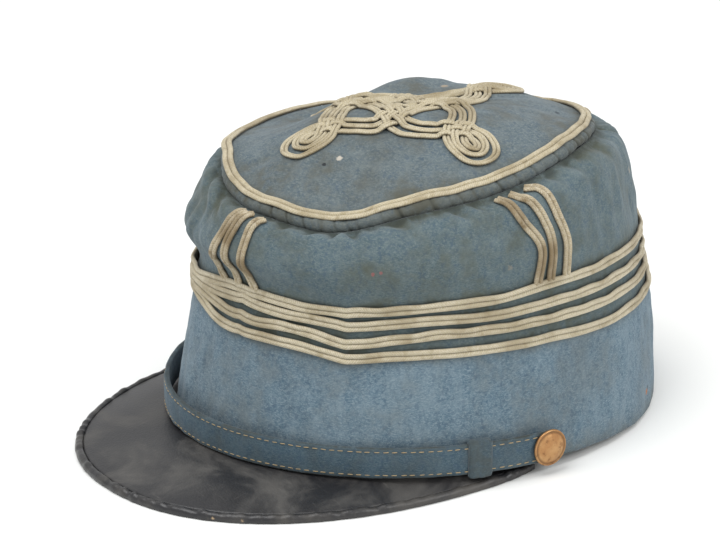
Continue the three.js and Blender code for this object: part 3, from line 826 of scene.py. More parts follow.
def disc_body(name, rings, marks):
    """Rings of points from the middle out and back again, closed by two centre points."""
    count, size = rings.shape[:2]
    points = np.concatenate([rings.reshape(-1, 3), [rings[:, 0].mean(0), rings[:, -1].mean(0)]])
    quads = ring_faces(count, size, True, closed=False)
    starts = np.arange(count) * size
    pairs = list(zip(starts.tolist(), np.roll(starts, -1).tolist()))
    fans = [[count * size, here, after] for here, after in pairs]
    fans += [[count * size + 1, after + size - 1, here + size - 1] for here, after in pairs]
    order = facing_out(points, quads)
    faces = [face[::order] for face in quads.tolist() + fans]
    flat = {key: np.append(mark, [mark[0, 0], mark[0, -1]]) for key, mark in marks.items()}
    return finish_piece(name, points, faces, flat)


TOP_STATIONS = 420
top_shares = np.concatenate([np.linspace(0.01, 0.9, 58), np.linspace(0.91, 1.0, 8)])
top_rings, ring_shares = cloth_top_rings(TOP_STATIONS, top_shares)
top_angles = even_angles(TOP_STATIONS)[:, None]
# the top is darker at its edge, where it runs under the piping and its braid: dirt and painted shade
edge_soil_and_shade = 0.75 * bell(1.0 - ring_shares[None, :], 0.06) + 0 * top_angles
top_rub_and_shade = top_relief(top_angles, ring_shares[None, :])
cloth_top = disc_body("cloth_top", top_rings, {"soil_and_shade": edge_soil_and_shade, "rub_and_shade": top_rub_and_shade})

# %% [markdown]
# ## Piping
# The seam round the top is a roll of bias-cut cloth. Bias cloth puckers where it is
# stitched, so the roll swells and narrows every few millimetres, and the cloth below it
# is drawn into a crevice, whose shade is painted dark on that cloth. The underside of the
# roll and its pinches are painted darker as shade too.

# %% Piping
PIPING = {"radius": 2.9, "inside": 2.3, "above": 2.45}


def outward_from(points):
    flat = points - np.array([0, TOP_EDGE["centre_y"], 0])
    flat[..., 2] = 0
    return unit(flat)


def tube_rings(line, across, radii, sides):
    """Rings of a round tube, given its line, its side direction and its radius."""
    turn = np.linspace(0, 2 * np.pi, sides, endpoint=False)
    upward = np.array([0.0, 0.0, 1.0])
    ring = off_line(across, np.cos(turn)[None]) + upward * np.sin(turn)[None, :, None]
    return line[:, None, :] + ring * radii[..., None]


def piping_line(angle):
    seam = wall_point(angle, PIPING_LEVEL)
    line = seam - outward_from(seam) * PIPING["inside"]
    line[..., 2] += PIPING["above"]
    return line


PIPING_SIDES = 18
PIPING_STATIONS, PINCHES, PINCH_DEPTH = 1300, 76, 0.42
PINCH_APART = (2.6, 6.6)  # degrees
piping_angles = even_angles(PIPING_STATIONS)
pucker_turn = np.linspace(0, 2 * np.pi, PIPING_SIDES, endpoint=False)[None, :]
slanted = piping_angles[:, None] + 1.1 * np.sin(pucker_turn)
pinched = np.zeros(slanted.shape)
for pinch in np.cumsum(rng.uniform(*PINCH_APART, PINCHES)):
    pinched = np.maximum(pinched, rng.uniform(0.3, 1.0) * bell(turn_between(slanted, pinch), 0.55))
swell = 0.16 * waves(piping_angles, 0.0, wave_table(10, (8, 30), 0.0))[:, None]
crinkle = 0.06 * waves(slanted, 6 * pucker_turn, wave_table(14, (60, 150), 0.2))
piping_radii = PIPING["radius"] + swell + crinkle - PINCH_DEPTH * pinched
piping_middle = piping_line(piping_angles)
piping_rings = tube_rings(piping_middle, outward_from(piping_middle), piping_radii, PIPING_SIDES)
# painted shade on the underside of the roll and in its pinches, over a little dirt all round
underside_shade = np.clip(-np.sin(pucker_turn), 0, 1)
piping_marks = {"soil_and_shade": np.clip(0.35 + 0.5 * underside_shade + 0.5 * pinched, 0, 1), "rub_and_shade": crinkle * 6}
piping_roll = ring_body("piping_roll", piping_rings, True, piping_marks)

# %% [markdown]
# ## Braid
# The braid is soutache: a flat plait over two cores, so its section has two round lobes with a
# narrow groove between them. A curve object with a bevel could sweep that section, but it would
# twist freely round the cap. Here every ring is set on the cloth one by one: one direction
# lies in the cloth across the braid, the other stands out of it.

# %% Braid section
BRAID = {"width": 4.1, "thickness": 1.6}
LOBE_TURNS = np.radians([0, 25, 55, 90, 125, 155, 180])
GROOVE_IN_LOBE = np.array([0.8, 0.3, 0.0, 0.0, 0.0, 0.25, 1.0])


def braid_section(width, thickness):
    """Across, out and groove values of the points round a two-lobed braid."""
    quarter = width / 4
    right = quarter + quarter * np.cos(LOBE_TURNS)
    height = thickness * (0.3 + 0.7 * np.sin(LOBE_TURNS))
    across = np.concatenate([right, -right[-2::-1], [-0.8 * 2 * quarter, 0, 0.8 * 2 * quarter]])
    out = np.concatenate([height, height[-2::-1], [0, -0.1, 0]])
    groove = np.concatenate([GROOVE_IN_LOBE, GROOVE_IN_LOBE[-2::-1], [1, 1, 1]])
    return across, out, groove


def sweep_braid(name, line, out, looped, tilt=0.0, hand=1, size=(BRAID["width"], BRAID["thickness"])):
    """A braid along a line on the cloth. Out stands off the cloth, and tilt rolls the braid.
    With hand -1 its section is laid from the other side."""
    run = way_round(line) if looped else unit(np.gradient(line, axis=0))
    across = hand * unit(np.cross(out, run) + out * np.reshape(tilt, (-1, 1)))
    out = hand * unit(np.cross(run, across))
    side, rise, groove = braid_section(*size)
    rings = line[:, None, :] + off_line(across, side[None]) + off_line(out, rise[None])
    steps = np.linalg.norm(np.roll(line, -1, axis=0) - line, axis=1)
    along = np.concatenate([[0], np.cumsum(steps)])
    marks = {"groove": np.broadcast_to(groove, rings.shape[:2])}
    return ring_body(name, rings, looped, marks, (along, side))


def smoothed(values, reach):
    """Running mean round a closed line."""
    kernel = np.ones(2 * reach + 1) / (2 * reach + 1)
    padded = np.concatenate([values[-reach:], values, values[:reach]])
    return np.stack([np.convolve(padded[:, k], kernel, "valid") for k in range(values.shape[1])], -1)


# %% Rows round the cap
BRAID_STATIONS = 1080
ROW_LIFT = 0.25
CRUSHED = {"angle": -34, "wide": 12, "stack": 0.5}  # here each row lies on the edge of the next
row_angles = even_angles(BRAID_STATIONS)
row_bodies = []
for row in range(ROW_COUNT):
    levels = row_level(row, row_angles)
    near = bell(turn_between(row_angles, CRUSHED["angle"]), CRUSHED["wide"])
    stack = CRUSHED["stack"] * (ROW_COUNT - 1 - row) * near
    row_line = smoothed(on_cloth(row_angles, levels, ROW_LIFT + stack), 2)
    tilt = 0.12 * waves(row_angles, 0.0, wave_table(12, (6, 40), 0.0))
    row_out = wall_ways(row_angles, levels)[2]
    row_bodies.append(sweep_braid(f"row_braid_{row + 1}", row_line, row_out, True, tilt))

# %% Upright braids
UPRIGHT_LEVELS = (74, 86, 104, 116)
# the angle of each braid's middle line at those levels. At the front their heads lean a
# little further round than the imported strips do.
UPRIGHTS = {
    "front_1": (-6, -1.8, 2.3, 6),
    "front_2": (2.2, 2.6, 5.3, 9.5),
    "front_3": (8, 9.1, 10.4, 13.5),
    "left_1": (86.2, 89, 84.3, 81.8),
    "left_2": (90, 92.3, 90.2, 85.5),
    "left_3": (94.7, 97.2, 95, 93),
    "back_1": (174.6, 174.8, 176.2, 177),
    "back_2": (180, 180.3, 180.2, 180.4),
    "back_3": (185.8, 185.4, 184.2, 184),
    "right_1": (-95.2, -97, -94.6, -92.4),
    "right_2": (-90.4, -92.6, -90, -86.6),
    "right_3": (-86, -88.4, -84.8, -82.2),
}
FOOT_SWEEP = {"front_1": 2.6, "front_2": 0.8, "front_3": 1.4}  # degrees, where they meet the rows
HEAD_LEVEL = {"front": 111, "left": 114.5, "back": 115, "right": 115}  # where it turns in
LOOSE_END = {"left_3": {"head": 114.2, "hook": -2.4}}
UPRIGHT = {"stations": 110, "foot": 1.3, "lift": 0.2, "wander": 0.18, "sweep": 3.0, "hook": 2.5}
upright_bodies = {}
for name, row in UPRIGHTS.items():
    loose = LOOSE_END.get(name, {"head": HEAD_LEVEL[name[:-2]], "hook": 0.0})
    foot = row_level(0, np.array([row[0]]))[0] + UPRIGHT["foot"]
    levels = np.linspace(foot, loose["head"], UPRIGHT["stations"])
    wander = UPRIGHT["wander"] * np.sin(np.linspace(0, 7, len(levels)) + rng.uniform(0, 6))
    line_angles = smooth_through(UPRIGHT_LEVELS, row, levels) + wander
    line_angles = line_angles + FOOT_SWEEP.get(name, 0.0) * bell(levels - foot, UPRIGHT["sweep"])
    hooked = ease(levels, loose["head"] - UPRIGHT["hook"], loose["head"])
    line_angles = line_angles + loose["hook"] * hooked
    line = on_cloth(line_angles, levels, UPRIGHT["lift"])
    out = wall_ways(line_angles, levels)[2]
    upright_bodies[f"braid_{name}"] = sweep_braid(f"upright_braid_{name}", line, out, False, hand=-1)

# %% Braid on the edge of the top
EDGE_BRAID = {"width": 4.5, "thickness": 1.7, "inside": 0.5, "above": 0.35, "lean": 0.35}
EDGE_WANDER = {"sideways": 0.2, "up": 0.12}
edge_angles = even_angles(BRAID_STATIONS)
edge_wander = EDGE_WANDER["sideways"] * waves(edge_angles, 0.0, wave_table(14, (5, 34), 0.0))
edge_line = edge_point(edge_angles)
edge_line = edge_line + outward_from(edge_line) * (edge_wander - EDGE_BRAID["inside"])[:, None]
edge_line[:, 2] += EDGE_BRAID["above"]
edge_line[:, 2] += EDGE_WANDER["up"] * waves(edge_angles, 0.0, wave_table(12, (5, 40), 0.0))
edge_out = unit(outward_from(edge_line) * EDGE_BRAID["lean"] + np.array([0, 0, 1.0]))
edge_size = (EDGE_BRAID["width"], EDGE_BRAID["thickness"])
edge_braid = sweep_braid("edge_braid", edge_line, edge_out, True, size=edge_size)

# %% [markdown]
# ## The knot
# The knot is three soutaches laid side by side and led twice round: one closed loop makes the
# front and back arms, another the two side arms. Each arm's strands come in from the two runs
# beside the centre, cross at a neck and turn round an eye. A braider takes every strand over
# and under the others by turns. So the script first lays the six lines flat, finds all the places
# where they cross, and then lifts the line that goes over at each of them.

# %% Knot plan
KNOT = {"x": 1.0, "y": -10.5, "turn": -2.0, "pitch": 4.0, "eye_pitch": 3.3, "eye_centre": 46.0}
KNOT_BRAID = {"width": 3.2, "thickness": 1.4, "step": 0.6}
KNOT_EYE = {"starts": (31, 41), "tip": (46.5, 51.5), "tip_gap": 0.9, "leans": (6, 34)}  # ahead
ARMS = [  # front, left, back and right: how far each leans and how far out its eye lies
    {"lean": -2.8, "reach": 42.0},
    {"lean": 1.4, "reach": 46.0},
    {"lean": 0.8, "reach": 48.5},
    {"lean": 3.9, "reach": 40.0},
]
ARM_PATH = [  # ahead along the arm and beside it
    (0, -9.4), (8, -10.6), (16, -12.9), (23.5, -12.2), (30, -7.8), (35, -1.8), (39.5, 3.2),
    (44.5, 5.3), (49.3, 4.3), (51.9, 0), (49.3, -4.3), (44.5, -5.3), (39.5, -3.2), (35, 1.8),
    (30, 7.8), (23.5, 12.2), (16, 12.9), (8, 10.6),
]


def closed_curve(points, step):
    """Even points on a smooth closed curve through the given ones."""
    count = len(points)
    u = np.arange(0, count, 0.02)
    i = u.astype(int)
    t = (u - i)[:, None]
    p0, p1, p2, p3 = (points[(i + k) % count] for k in (-1, 0, 1, 2))
    curve = 0.5 * (2 * p1 + (p2 - p0) * t + (2 * p0 - 5 * p1 + 4 * p2 - p3) * t**2)
    curve = curve + 0.5 * (3 * p1 - p0 - 3 * p2 + p3) * t**3
    lengths = np.linalg.norm(np.diff(curve, axis=0, append=curve[:1]), axis=1)
    total = np.concatenate([[0], np.cumsum(lengths)])
    even = np.linspace(0, total[-1], int(total[-1] / step), endpoint=False)
    closed = np.concatenate([curve, curve[:1]])
    return np.stack([np.interp(even, total, closed[:, k]) for k in range(closed.shape[1])], -1)


def knot_plan(first_arm, place):
    """The plan of one of three strands of a loop through two opposite arms."""
    half = np.array(ARM_PATH, float)
    line = closed_curve(np.concatenate([half, -half]), KNOT_BRAID["step"])
    ahead, beside = line[:, 0], line[:, 1]
    run = way_round(line)
    in_eye = ease(np.abs(ahead), *KNOT_EYE["starts"])
    offset = place * (KNOT["pitch"] + (KNOT["eye_pitch"] - KNOT["pitch"]) * in_eye)
    if place < 0:  # the outer strand leaves a gap round the tip of the eye
        offset = offset - KNOT_EYE["tip_gap"] * ease(np.abs(ahead), *KNOT_EYE["tip"])
    offset = offset + 0.22 * np.sin(np.arange(len(line)) * 0.13 + 2.1 * place + first_arm)
    ahead = ahead + run[:, 1] * offset
    beside = beside - run[:, 0] * offset
    outward = ahead > 0
    lean = np.where(outward, ARMS[first_arm]["lean"], ARMS[first_arm + 2]["lean"])
    reach = np.where(outward, ARMS[first_arm]["reach"], ARMS[first_arm + 2]["reach"])
    far = ease(np.abs(ahead), *KNOT_EYE["leans"])
    ahead = ahead + np.sign(ahead) * (reach - KNOT["eye_centre"]) * far
    turn = np.radians(KNOT["turn"] + 90 * first_arm + lean * far)
    x = KNOT["x"] + ahead * np.sin(turn) + beside * np.cos(turn)
    y = KNOT["y"] - ahead * np.cos(turn) + beside * np.sin(turn)
    return np.stack([x, y], -1)


knot_plans = [knot_plan(first_arm, place) for first_arm in (0, 1) for place in (-1, 0, 1)]
print("knot strands", [len(plan) for plan in knot_plans])


# %% Crossings of the knot
def flat_cross(a, b):
    return a[..., 0] * b[..., 1] - a[..., 1] * b[..., 0]


def crossings(first, second):
    """The steps at which two closed plan lines cross each other."""
    go_first = np.roll(first, -1, axis=0) - first
    go_second = np.roll(second, -1, axis=0) - second
    apart = second[None] - first[:, None]
    turned = flat_cross(go_first[:, None], go_second[None])
    turned = np.where(np.abs(turned) < 1e-9, 1e-9, turned)  # parallel steps never meet
    on_first = flat_cross(apart, go_second[None]) / turned
    on_second = flat_cross(apart, go_first[:, None]) / turned
    hit = (on_first >= 0) & (on_first < 1) & (on_second >= 0) & (on_second < 1)
    return np.argwhere(hit)


met = []
for i, first in enumerate(knot_plans):
    for j, second in enumerate(knot_plans[i:], start=i):
        for a, b in crossings(first, second):
            if i != j or b > a + 3 and b - a < len(first) - 3:
                met.append(((i, int(a)), (j, int(b))))
passes = [[] for plan in knot_plans]  # each line's crossings, in the order it comes to them
for k, meeting in enumerate(met):
    for end, (line_index, at) in enumerate(meeting):
        passes[line_index].append((at, k, end))
passes = [sorted(visits) for visits in passes]
followers = {}
for visits in passes:
    for here, after in zip(visits, visits[1:] + visits[:1]):
        followers[here[1:]] = after[1:]
above = {0: 0}  # for each crossing, which of its two lines goes over
waiting = [0]
while waiting:
    k = waiting.pop()
    for end in (0, 1):
        next_k, next_end = followers[(k, end)]
        if next_k not in above:
            above[next_k] = 1 - next_end if above[k] == end else next_end
            waiting.append(next_k)
print("crossings of the knot", len(met), "woven", len(above))

# %% Knot strands
KNOT_LIFT, KNOT_CLEARANCE = 1.35, 0.15


def top_above(x, y):
    """The worn surface of the top above a point of its plan."""
    across = x / TOP_EDGE["half_width"]
    ahead = (TOP_EDGE["centre_y"] - y) / TOP_EDGE["half_length"]
    angle = np.degrees(np.arctan2(across, ahead))
    share = np.hypot(across, ahead)
    point = top_point(angle, share)
    point[..., 2] += top_relief(angle, share)
    return point


def strand_lift(strand, count):
    """How high a strand is carried over the others, step by step."""
    visits = passes[strand]
    lift = np.zeros(count)
    steps = np.arange(count)
    for index, (at, k, end) in enumerate(visits):
        if above[k] != end:
            continue
        before, after = visits[index - 1][0], visits[(index + 1) % len(visits)][0]
        room = min((at - before) % count, (after - at) % count)
        reach = np.clip(0.95 * room * KNOT_BRAID["step"], 2.2, 5.0)
        away = np.abs((steps - at + count / 2) % count - count / 2) * KNOT_BRAID["step"]
        lift = np.maximum(lift, ease(away, reach, 0.3 * reach))
    return KNOT_LIFT * lift


knot_bodies = []
knot_size = (KNOT_BRAID["width"], KNOT_BRAID["thickness"])
for strand, plan in enumerate(knot_plans):
    laid = top_above(plan[:, 0], plan[:, 1])
    laid[:, 2] += KNOT_CLEARANCE + strand_lift(strand, len(plan))
    name = f"knot_braid_{strand // 3 + 1}_{strand % 3 + 1}"
    straight_up = np.array([0, 0, 1.0])
    knot_bodies.append(sweep_braid(name, smoothed(laid, 1), straight_up, True, size=knot_size))

# %% [markdown]
# ## Peak
# The peak is a stiff leather crescent: its inner edge is tucked under the rim of the band and
# it falls to a rolled binding. Its outline is a pair of half ovals a little fuller than
# ellipses, so one short formula draws it, and the leather is slightly dished by wear.

# %% Peak
PEAK = {"half_width": 88, "widest_y": -30, "front": 122, "back": 75, "fullness": 2.2, "tip": 106}
LEATHER = {"thickness": 2.2, "edge_height": 0.6, "crown": 1.4, "tuck": 1.2, "temple_tuck": 6.2}
LEATHER.update({"temples": 84, "temple_drop": 0.7, "edge_width": 3.8, "gap": 0.35})
BINDING_SECTION = [
    (0.15, 0.0), (1.4, 0.0), (2.7, 0.05), (3.2, 0.5), (3.4, 1.1), (3.32, 1.8), (3.05, 2.5),
    (2.5, 3.0), (1.9, 3.3), (1.2, 3.35), (0.55, 3.05), (0.15, 2.55),
]
EDGE_WEAR = 0.6  # how much the edge has drawn in since it was cut


def peak_outline(turn):
    power = 2 / PEAK["fullness"]
    angle = np.radians(turn)
    reach = np.where(np.abs(turn) <= 90, PEAK["front"], -PEAK["back"])
    x = PEAK["half_width"] * np.sign(np.sin(angle)) * np.abs(np.sin(angle)) ** power
    y = PEAK["widest_y"] - reach * np.abs(np.cos(angle)) ** power
    return np.stack([x, y, np.zeros_like(x)], -1)


def peak_outward(turn):
    ahead = peak_outline(np.minimum(turn + 0.5, PEAK["tip"]))
    behind = peak_outline(np.maximum(turn - 0.5, -PEAK["tip"]))
    along = ahead - behind
    return unit(np.stack([along[..., 1], -along[..., 0], np.zeros(len(along))], -1))


PEAK_STATIONS, BINDING_STATIONS = 420, 700
PEAK_DISH, BINDING_NIBBLE = 0.22, 0.05
peak_turns = np.linspace(-PEAK["tip"], PEAK["tip"], PEAK_STATIONS)
rim_angles = peak_turns / PEAK["tip"] * LEATHER["temples"]
rim_sine = np.sin(np.radians(rim_angles))
tuck = LEATHER["tuck"] + (LEATHER["temple_tuck"] - LEATHER["tuck"]) * rim_sine**4
peak_inner = off_wall(rim_angles, np.zeros_like(rim_angles), -tuck)
peak_inner[:, 2] -= LEATHER["gap"] + LEATHER["thickness"] + LEATHER["temple_drop"] * rim_sine**2
inset = LEATHER["edge_width"] + EDGE_WEAR + 0.05
peak_outer = peak_outline(peak_turns) - peak_outward(peak_turns) * inset
peak_outer[:, 2] = LEATHER["edge_height"]
peak_shares = np.linspace(0, 1, 44)
fall = peak_inner[:, None, :] + off_line(peak_outer - peak_inner, peak_shares[None])
crown = LEATHER["crown"] * 4 * peak_shares * (1 - peak_shares)
fall[..., 2] += crown[None, :] * (np.cos(np.radians(rim_angles)) ** 2)[:, None]
dished = waves(rim_angles[:, None] * 2, 40 * peak_shares[None, :], wave_table(10, (2, 9), 0.12))
upper_face = fall.copy()
upper_face[..., 2] += LEATHER["thickness"] + PEAK_DISH * dished * np.sin(np.pi * peak_shares)[None, :]
peak_rings = np.concatenate([fall, upper_face[:, ::-1]], axis=1)
edge_mark = np.concatenate([peak_shares, peak_shares[::-1]])
peak_marks = {"edge": np.broadcast_to(edge_mark, peak_rings.shape[:2])}
leather_peak = ring_body("leather_peak", peak_rings, False, peak_marks)

# %% Binding of the peak
binding_turns = np.linspace(-PEAK["tip"], PEAK["tip"], BINDING_STATIONS)
binding_out = peak_outward(binding_turns)
binding_root = peak_outline(binding_turns) - binding_out * (LEATHER["edge_width"] + EDGE_WEAR)
section_out, section_up = np.array(BINDING_SECTION).T
nibble = BINDING_NIBBLE * waves(binding_turns, 0.0, wave_table(16, (40, 130), 0.0))[:, None]
binding_reach = section_out - 0.05 + nibble * (section_out > 2)
binding_rings = binding_root[:, None, :] + off_line(binding_out, binding_reach)
binding_rings[..., 2] += section_up * (1 + nibble * (section_up > 1.5))
binding_marks = {"edge": np.ones(binding_rings.shape[:2])}
leather_binding = ring_body("leather_binding", binding_rings, False, binding_marks)

# %% [markdown]
# ## Chin strap, slides and buttons
# The strap is a tube of wool pressed flat, topstitched along both edges and shaped to a point
# under each button. It stands off the band at the front, because it is longer than the way
# round. Its stitches are real little bars of thread, all joined in one mesh.

# %% Strap frame
STRAP = {"width": 12.6, "thickness": 2.0, "end": 91, "level": 8}
STRAP.update({"front_lower": 8.2, "side_lower": 5.4, "stations": 620, "ripple": 0.1})
STAND_OFF = {"side": 1.9, "front": 2.6, "angle": -15, "wide": 38}


def strap_ways(angle):
    """The middle of the strap's inner face, and the strap's own directions there."""
    angle = np.asarray(angle, float)
    drop = STRAP["front_lower"] - STRAP["side_lower"]
    lower = STRAP["side_lower"] + drop * np.cos(np.radians(angle))
    slack = bell(angle - STAND_OFF["angle"], STAND_OFF["wide"])
    stand = STAND_OFF["side"] + STAND_OFF["front"] * slack
    along = wall_point(angle + 1, STRAP["level"]) - wall_point(angle - 1, STRAP["level"])
    along[..., 2] = 0
    along = unit(along)
    up = np.broadcast_to(np.array([0, 0, 1.0]), along.shape)
    out = np.cross(along, up)
    point = wall_point(angle, STRAP["level"]) + out * np.asarray(stand)[..., None]
    point[..., 2] = lower + STRAP["width"] / 2
    return point, along, up, out


def strap_half(angle):
    """Half the strap's width: full along its length, and pointed at its ends."""
    return STRAP["width"] / 2 * np.clip((STRAP["end"] + 1.5 - np.abs(angle)) / 5.5, 0.04, 1) ** 0.6


# %% Strap
strap_angles = np.linspace(-STRAP["end"], STRAP["end"], STRAP["stations"])
strap_point, _, strap_up, strap_out = strap_ways(strap_angles)
STRAP_SECTION = [
    (0.0, -0.9), (0.15, -0.97), (0.5, -1.0), (0.85, -0.97), (1.0, -0.88), (0.94, -0.72), (1.04, -0.5),
    (1.06, 0.0), (1.04, 0.5), (0.94, 0.72), (1.0, 0.88), (0.85, 0.97), (0.5, 1.0), (0.15, 0.97),
    (0.0, 0.9), (0.0, 0.0),
]
strap_section = np.array(STRAP_SECTION)
strap_wave = wave_table(16, (10, 60), 0.3)
strap_depth = STRAP["thickness"] * strap_section[:, 0][None, :]
strap_rise = strap_half(strap_angles)[:, None] * strap_section[:, 1][None, :]
strap_bump = STRAP["ripple"] * waves(strap_angles[:, None], strap_rise, strap_wave)
strap_bump = strap_bump * (strap_section[:, 0] > 0.5)  # on the outer face only
strap_rings = strap_point[:, None, :] + off_line(strap_out, strap_depth + strap_bump)
strap_rings = strap_rings + off_line(strap_up, strap_rise)
strap_soil = np.broadcast_to(np.abs(strap_section[:, 1]) ** 6, strap_rings.shape[:2])
strap_marks = {"soil_and_shade": 0.8 * strap_soil, "rub_and_shade": strap_bump * 4}
strap_body = ring_body("strap_cloth", strap_rings, False, strap_marks)

# %% Stitches
def bar_mesh(centres, ahead, out, half_length, radius):
    """Many small rounded bars as one set of points and faces."""
    side = np.cross(ahead, out)
    stations = np.array([(-1.0, 0.35), (-0.8, 0.85), (0.0, 1.0), (0.8, 0.85), (1.0, 0.35)])
    turn = np.linspace(0, 2 * np.pi, 6, endpoint=False)
    lengthwise = ahead[:, None, None, :] * (stations[:, 0] * half_length)[None, :, None, None]
    cross_out = out[:, None, None, :] * np.cos(turn)[None, None, :, None]
    cross_side = side[:, None, None, :] * np.sin(turn)[None, None, :, None]
    swollen = (stations[:, 1] * radius)[None, :, None, None]
    points = centres[:, None, None, :] + lengthwise + (cross_out + cross_side) * swollen
    count = len(centres)
    single = ring_faces(len(stations), len(turn), False)
    offsets = np.arange(count) * len(stations) * len(turn)
    quads = (single[None, :, :] + offsets[:, None, None]).reshape(-1, 4).tolist()
    last = len(stations) * len(turn)
    first_cap = list(range(len(turn)))[::-1]
    last_cap = list(range(last - len(turn), last))
    caps = [[o + i for i in cap] for o in offsets for cap in (first_cap, last_cap)]
    return points.reshape(-1, 3), quads + caps


STITCH = {"pitch": 3.0, "half": 1.05, "radius": 0.2, "inside": 0.76}
stitch_degrees = STITCH["pitch"] / DEGREE_LENGTH
stitch_angles = np.arange(-STRAP["end"] + 6, STRAP["end"] - 6, stitch_degrees)
stitch_points, stitch_faces = [], []
for edge_side_sign in (-1, 1):
    angles = stitch_angles + rng.uniform(-0.15, 0.15, len(stitch_angles))
    point, along, up, out = strap_ways(angles)
    rise = edge_side_sign * strap_half(angles) * STITCH["inside"]
    centres = point + out * (STRAP["thickness"] * 0.99) + up * rise[:, None]
    tilted = unit(along + up * rng.uniform(-0.06, 0.06, len(angles))[:, None])
    made_points, made_faces = bar_mesh(centres, tilted, out, STITCH["half"], STITCH["radius"])
    shift = sum(len(group) for group in stitch_points)
    stitch_points.append(made_points)
    stitch_faces += [[shift + i for i in face] for face in made_faces]
strap_stitches = finish_piece("strap_stitches", np.concatenate(stitch_points), stitch_faces)

# %% Slides
SLIDE = {"angle": 70, "width": 10.0, "thickness": 1.15, "clearance": 0.15}


def slide_body(name, angle):
    """A loop of cloth round the strap with rounded corners and a puffed face."""
    point, along, up, out = (v[0] for v in strap_ways(np.array([angle])))
    half_deep = STRAP["thickness"] / 2 + SLIDE["clearance"]
    half_tall = STRAP["width"] / 2 + SLIDE["clearance"]
    corner = np.repeat([45, 135, 225, 315], 7)[:, None]
    turn = np.radians(corner + np.tile(np.arange(-45, 46, 15), 4)[:, None])
    corner = np.radians(corner)
    middle = point + out * (STRAP["thickness"] / 2 + np.sign(np.cos(corner)) * half_deep)
    middle = middle + up * np.sign(np.sin(corner)) * half_tall
    across = np.linspace(-1, 1, 15)
    puffed = 0.12 * np.cos(across * math.pi / 2) + 0.05 * np.sin(9 * across)
    thick = SLIDE["thickness"] * (1 + puffed) * np.sqrt(1 - np.abs(across) ** 6)
    reach = np.append(0.05 + thick, [0.02] * 3)  # the last three lie against the strap
    wide = np.append(across, [0.9, 0.0, -0.9]) * SLIDE["width"] / 2
    spoke = out * np.cos(turn) + up * np.sin(turn)
    rings = middle[:, None, :] + off_line(spoke, reach[None]) + along * wide[:, None]
    tall = (rings[..., 2] - point[2]) / half_tall
    frayed = np.append(np.abs(across) ** 8, [0.0] * 3) + 0 * tall
    marks = {"soil_and_shade": 0.6 * ease(np.abs(tall), 0.7, 1.15), "rub_and_shade": 1.4 * frayed}
    return ring_body(name, rings, True, marks)


slide_left = slide_body("slide_left", SLIDE["angle"])
slide_right = slide_body("slide_right", -SLIDE["angle"])

# %% Buttons
BUTTON = {"angle": 86.5, "radius": 7.5, "rim": 1.4, "gap": 0.35, "sides": 72, "dint": 0.04}
BUTTON_PROFILE = [
    (0.0, 0.0), (0.9, 0.0), (0.965, 0.12), (1.0, 0.45), (0.995, 0.8), (0.965, 1.0), (0.92, 1.02),
    (0.88, 0.9), (0.84, 0.88), (0.74, 1.14), (0.6, 1.38), (0.4, 1.58), (0.2, 1.69), (0.0, 1.714),
]


def button_body(name, angle):
    point, along, up, out = (v[0] for v in strap_ways(np.array([angle])))
    base = point + out * (STRAP["thickness"] + BUTTON["gap"])
    turn = np.linspace(0, 2 * np.pi, BUTTON["sides"], endpoint=False)
    spoke = along[None, :] * np.cos(turn)[:, None] + up[None, :] * np.sin(turn)[:, None]
    profile = np.array(BUTTON_PROFILE)[1:-1]
    radius, height = profile[:, 0] * BUTTON["radius"], profile[:, 1] * BUTTON["rim"]
    dints = waves(np.degrees(turn)[:, None], radius[None, :], wave_table(8, (1, 6), 0.5))
    lift = height[None, :] + BUTTON["dint"] * dints * (radius < 6)
    rings = base + off_line(spoke, radius[None]) + out * lift[..., None]
    marks = {"edge": np.broadcast_to(profile[:, 0], rings.shape[:2])}
    return disc_body(name, rings, marks)


button_left = button_body("button_face_left", BUTTON["angle"])
button_right = button_body("button_face_right", -BUTTON["angle"])

# %% [markdown]
# ## Felted wool
# Wool cloth of this kind is milled until its threads vanish in a nap, so it shows no weave.
# What it shows is a mottled blue made of light and dark fibres, brown soil in the
# seams and a paler, rubbed colour on the high places. Shade is painted in as well: near black
# beside the braids and under the piping, and brown with the soil in the hollows of the cloth.
# The group below makes all of that once, and each cloth piece gets it with its own colours.
# A woven texture would look like canvas.

# %% Felt group
felt_inputs = {
    "Cloth": ("color", (0.15, 0.22, 0.30, 1)),
    "Light Fibre": ("color", (0.36, 0.42, 0.46, 1)),
    "Soil and Shade": ("color", (0.16, 0.15, 0.12, 1)),
    "Soil and Shade Mark": ("value", 0.0),
    "Rub and Shade Mark": ("value", 0.0),
    "Soiling": ("value", 0.5),
    "Nap Depth": ("value", 0.0004),
}
felt_outputs = {"Color": "color", "Roughness": "value", "Normal": "vector"}
felt, board, given, result = new_group("felted wool", felt_inputs, felt_outputs)
place = board.place()
broad = board.noise(place, 38.0, 5.0, 0.62)
patches = board.noise(place, 130.0, 5.0, 0.68, 0.6)
flecks = board.noise(place, 620.0, 3.0, 0.7)
fibre_lay = board.stretched(place, (900.0, 900.0, 2400.0), (0.5, 0.3, 0.2))
fibres = board.noise(fibre_lay, 1.0, 3.0, 0.75, 0.8)
down_lay = board.stretched(place, (1.0, 1.0, 0.35))
streaks = board.noise(down_lay, 160.0, 3.0, 0.6)

shade = board.mix(board.spread(fibres, 0.34, 0.72), given["Cloth"], given["Light Fibre"])
deep = board.mix(0.55, given["Cloth"], (0.055, 0.085, 0.13, 1))
shade = board.layer(shade, flecks, 0.5, 0.36, 0.75, deep)
for value, low, high, share in (
    (patches, 0.42, 0.66, 0.32), (streaks, 0.5, 0.7, 0.3), (given["Rub and Shade Mark"], 0.15, 1.3, 0.28),
):
    shade = board.layer(shade, value, low, high, share, given["Light Fibre"])
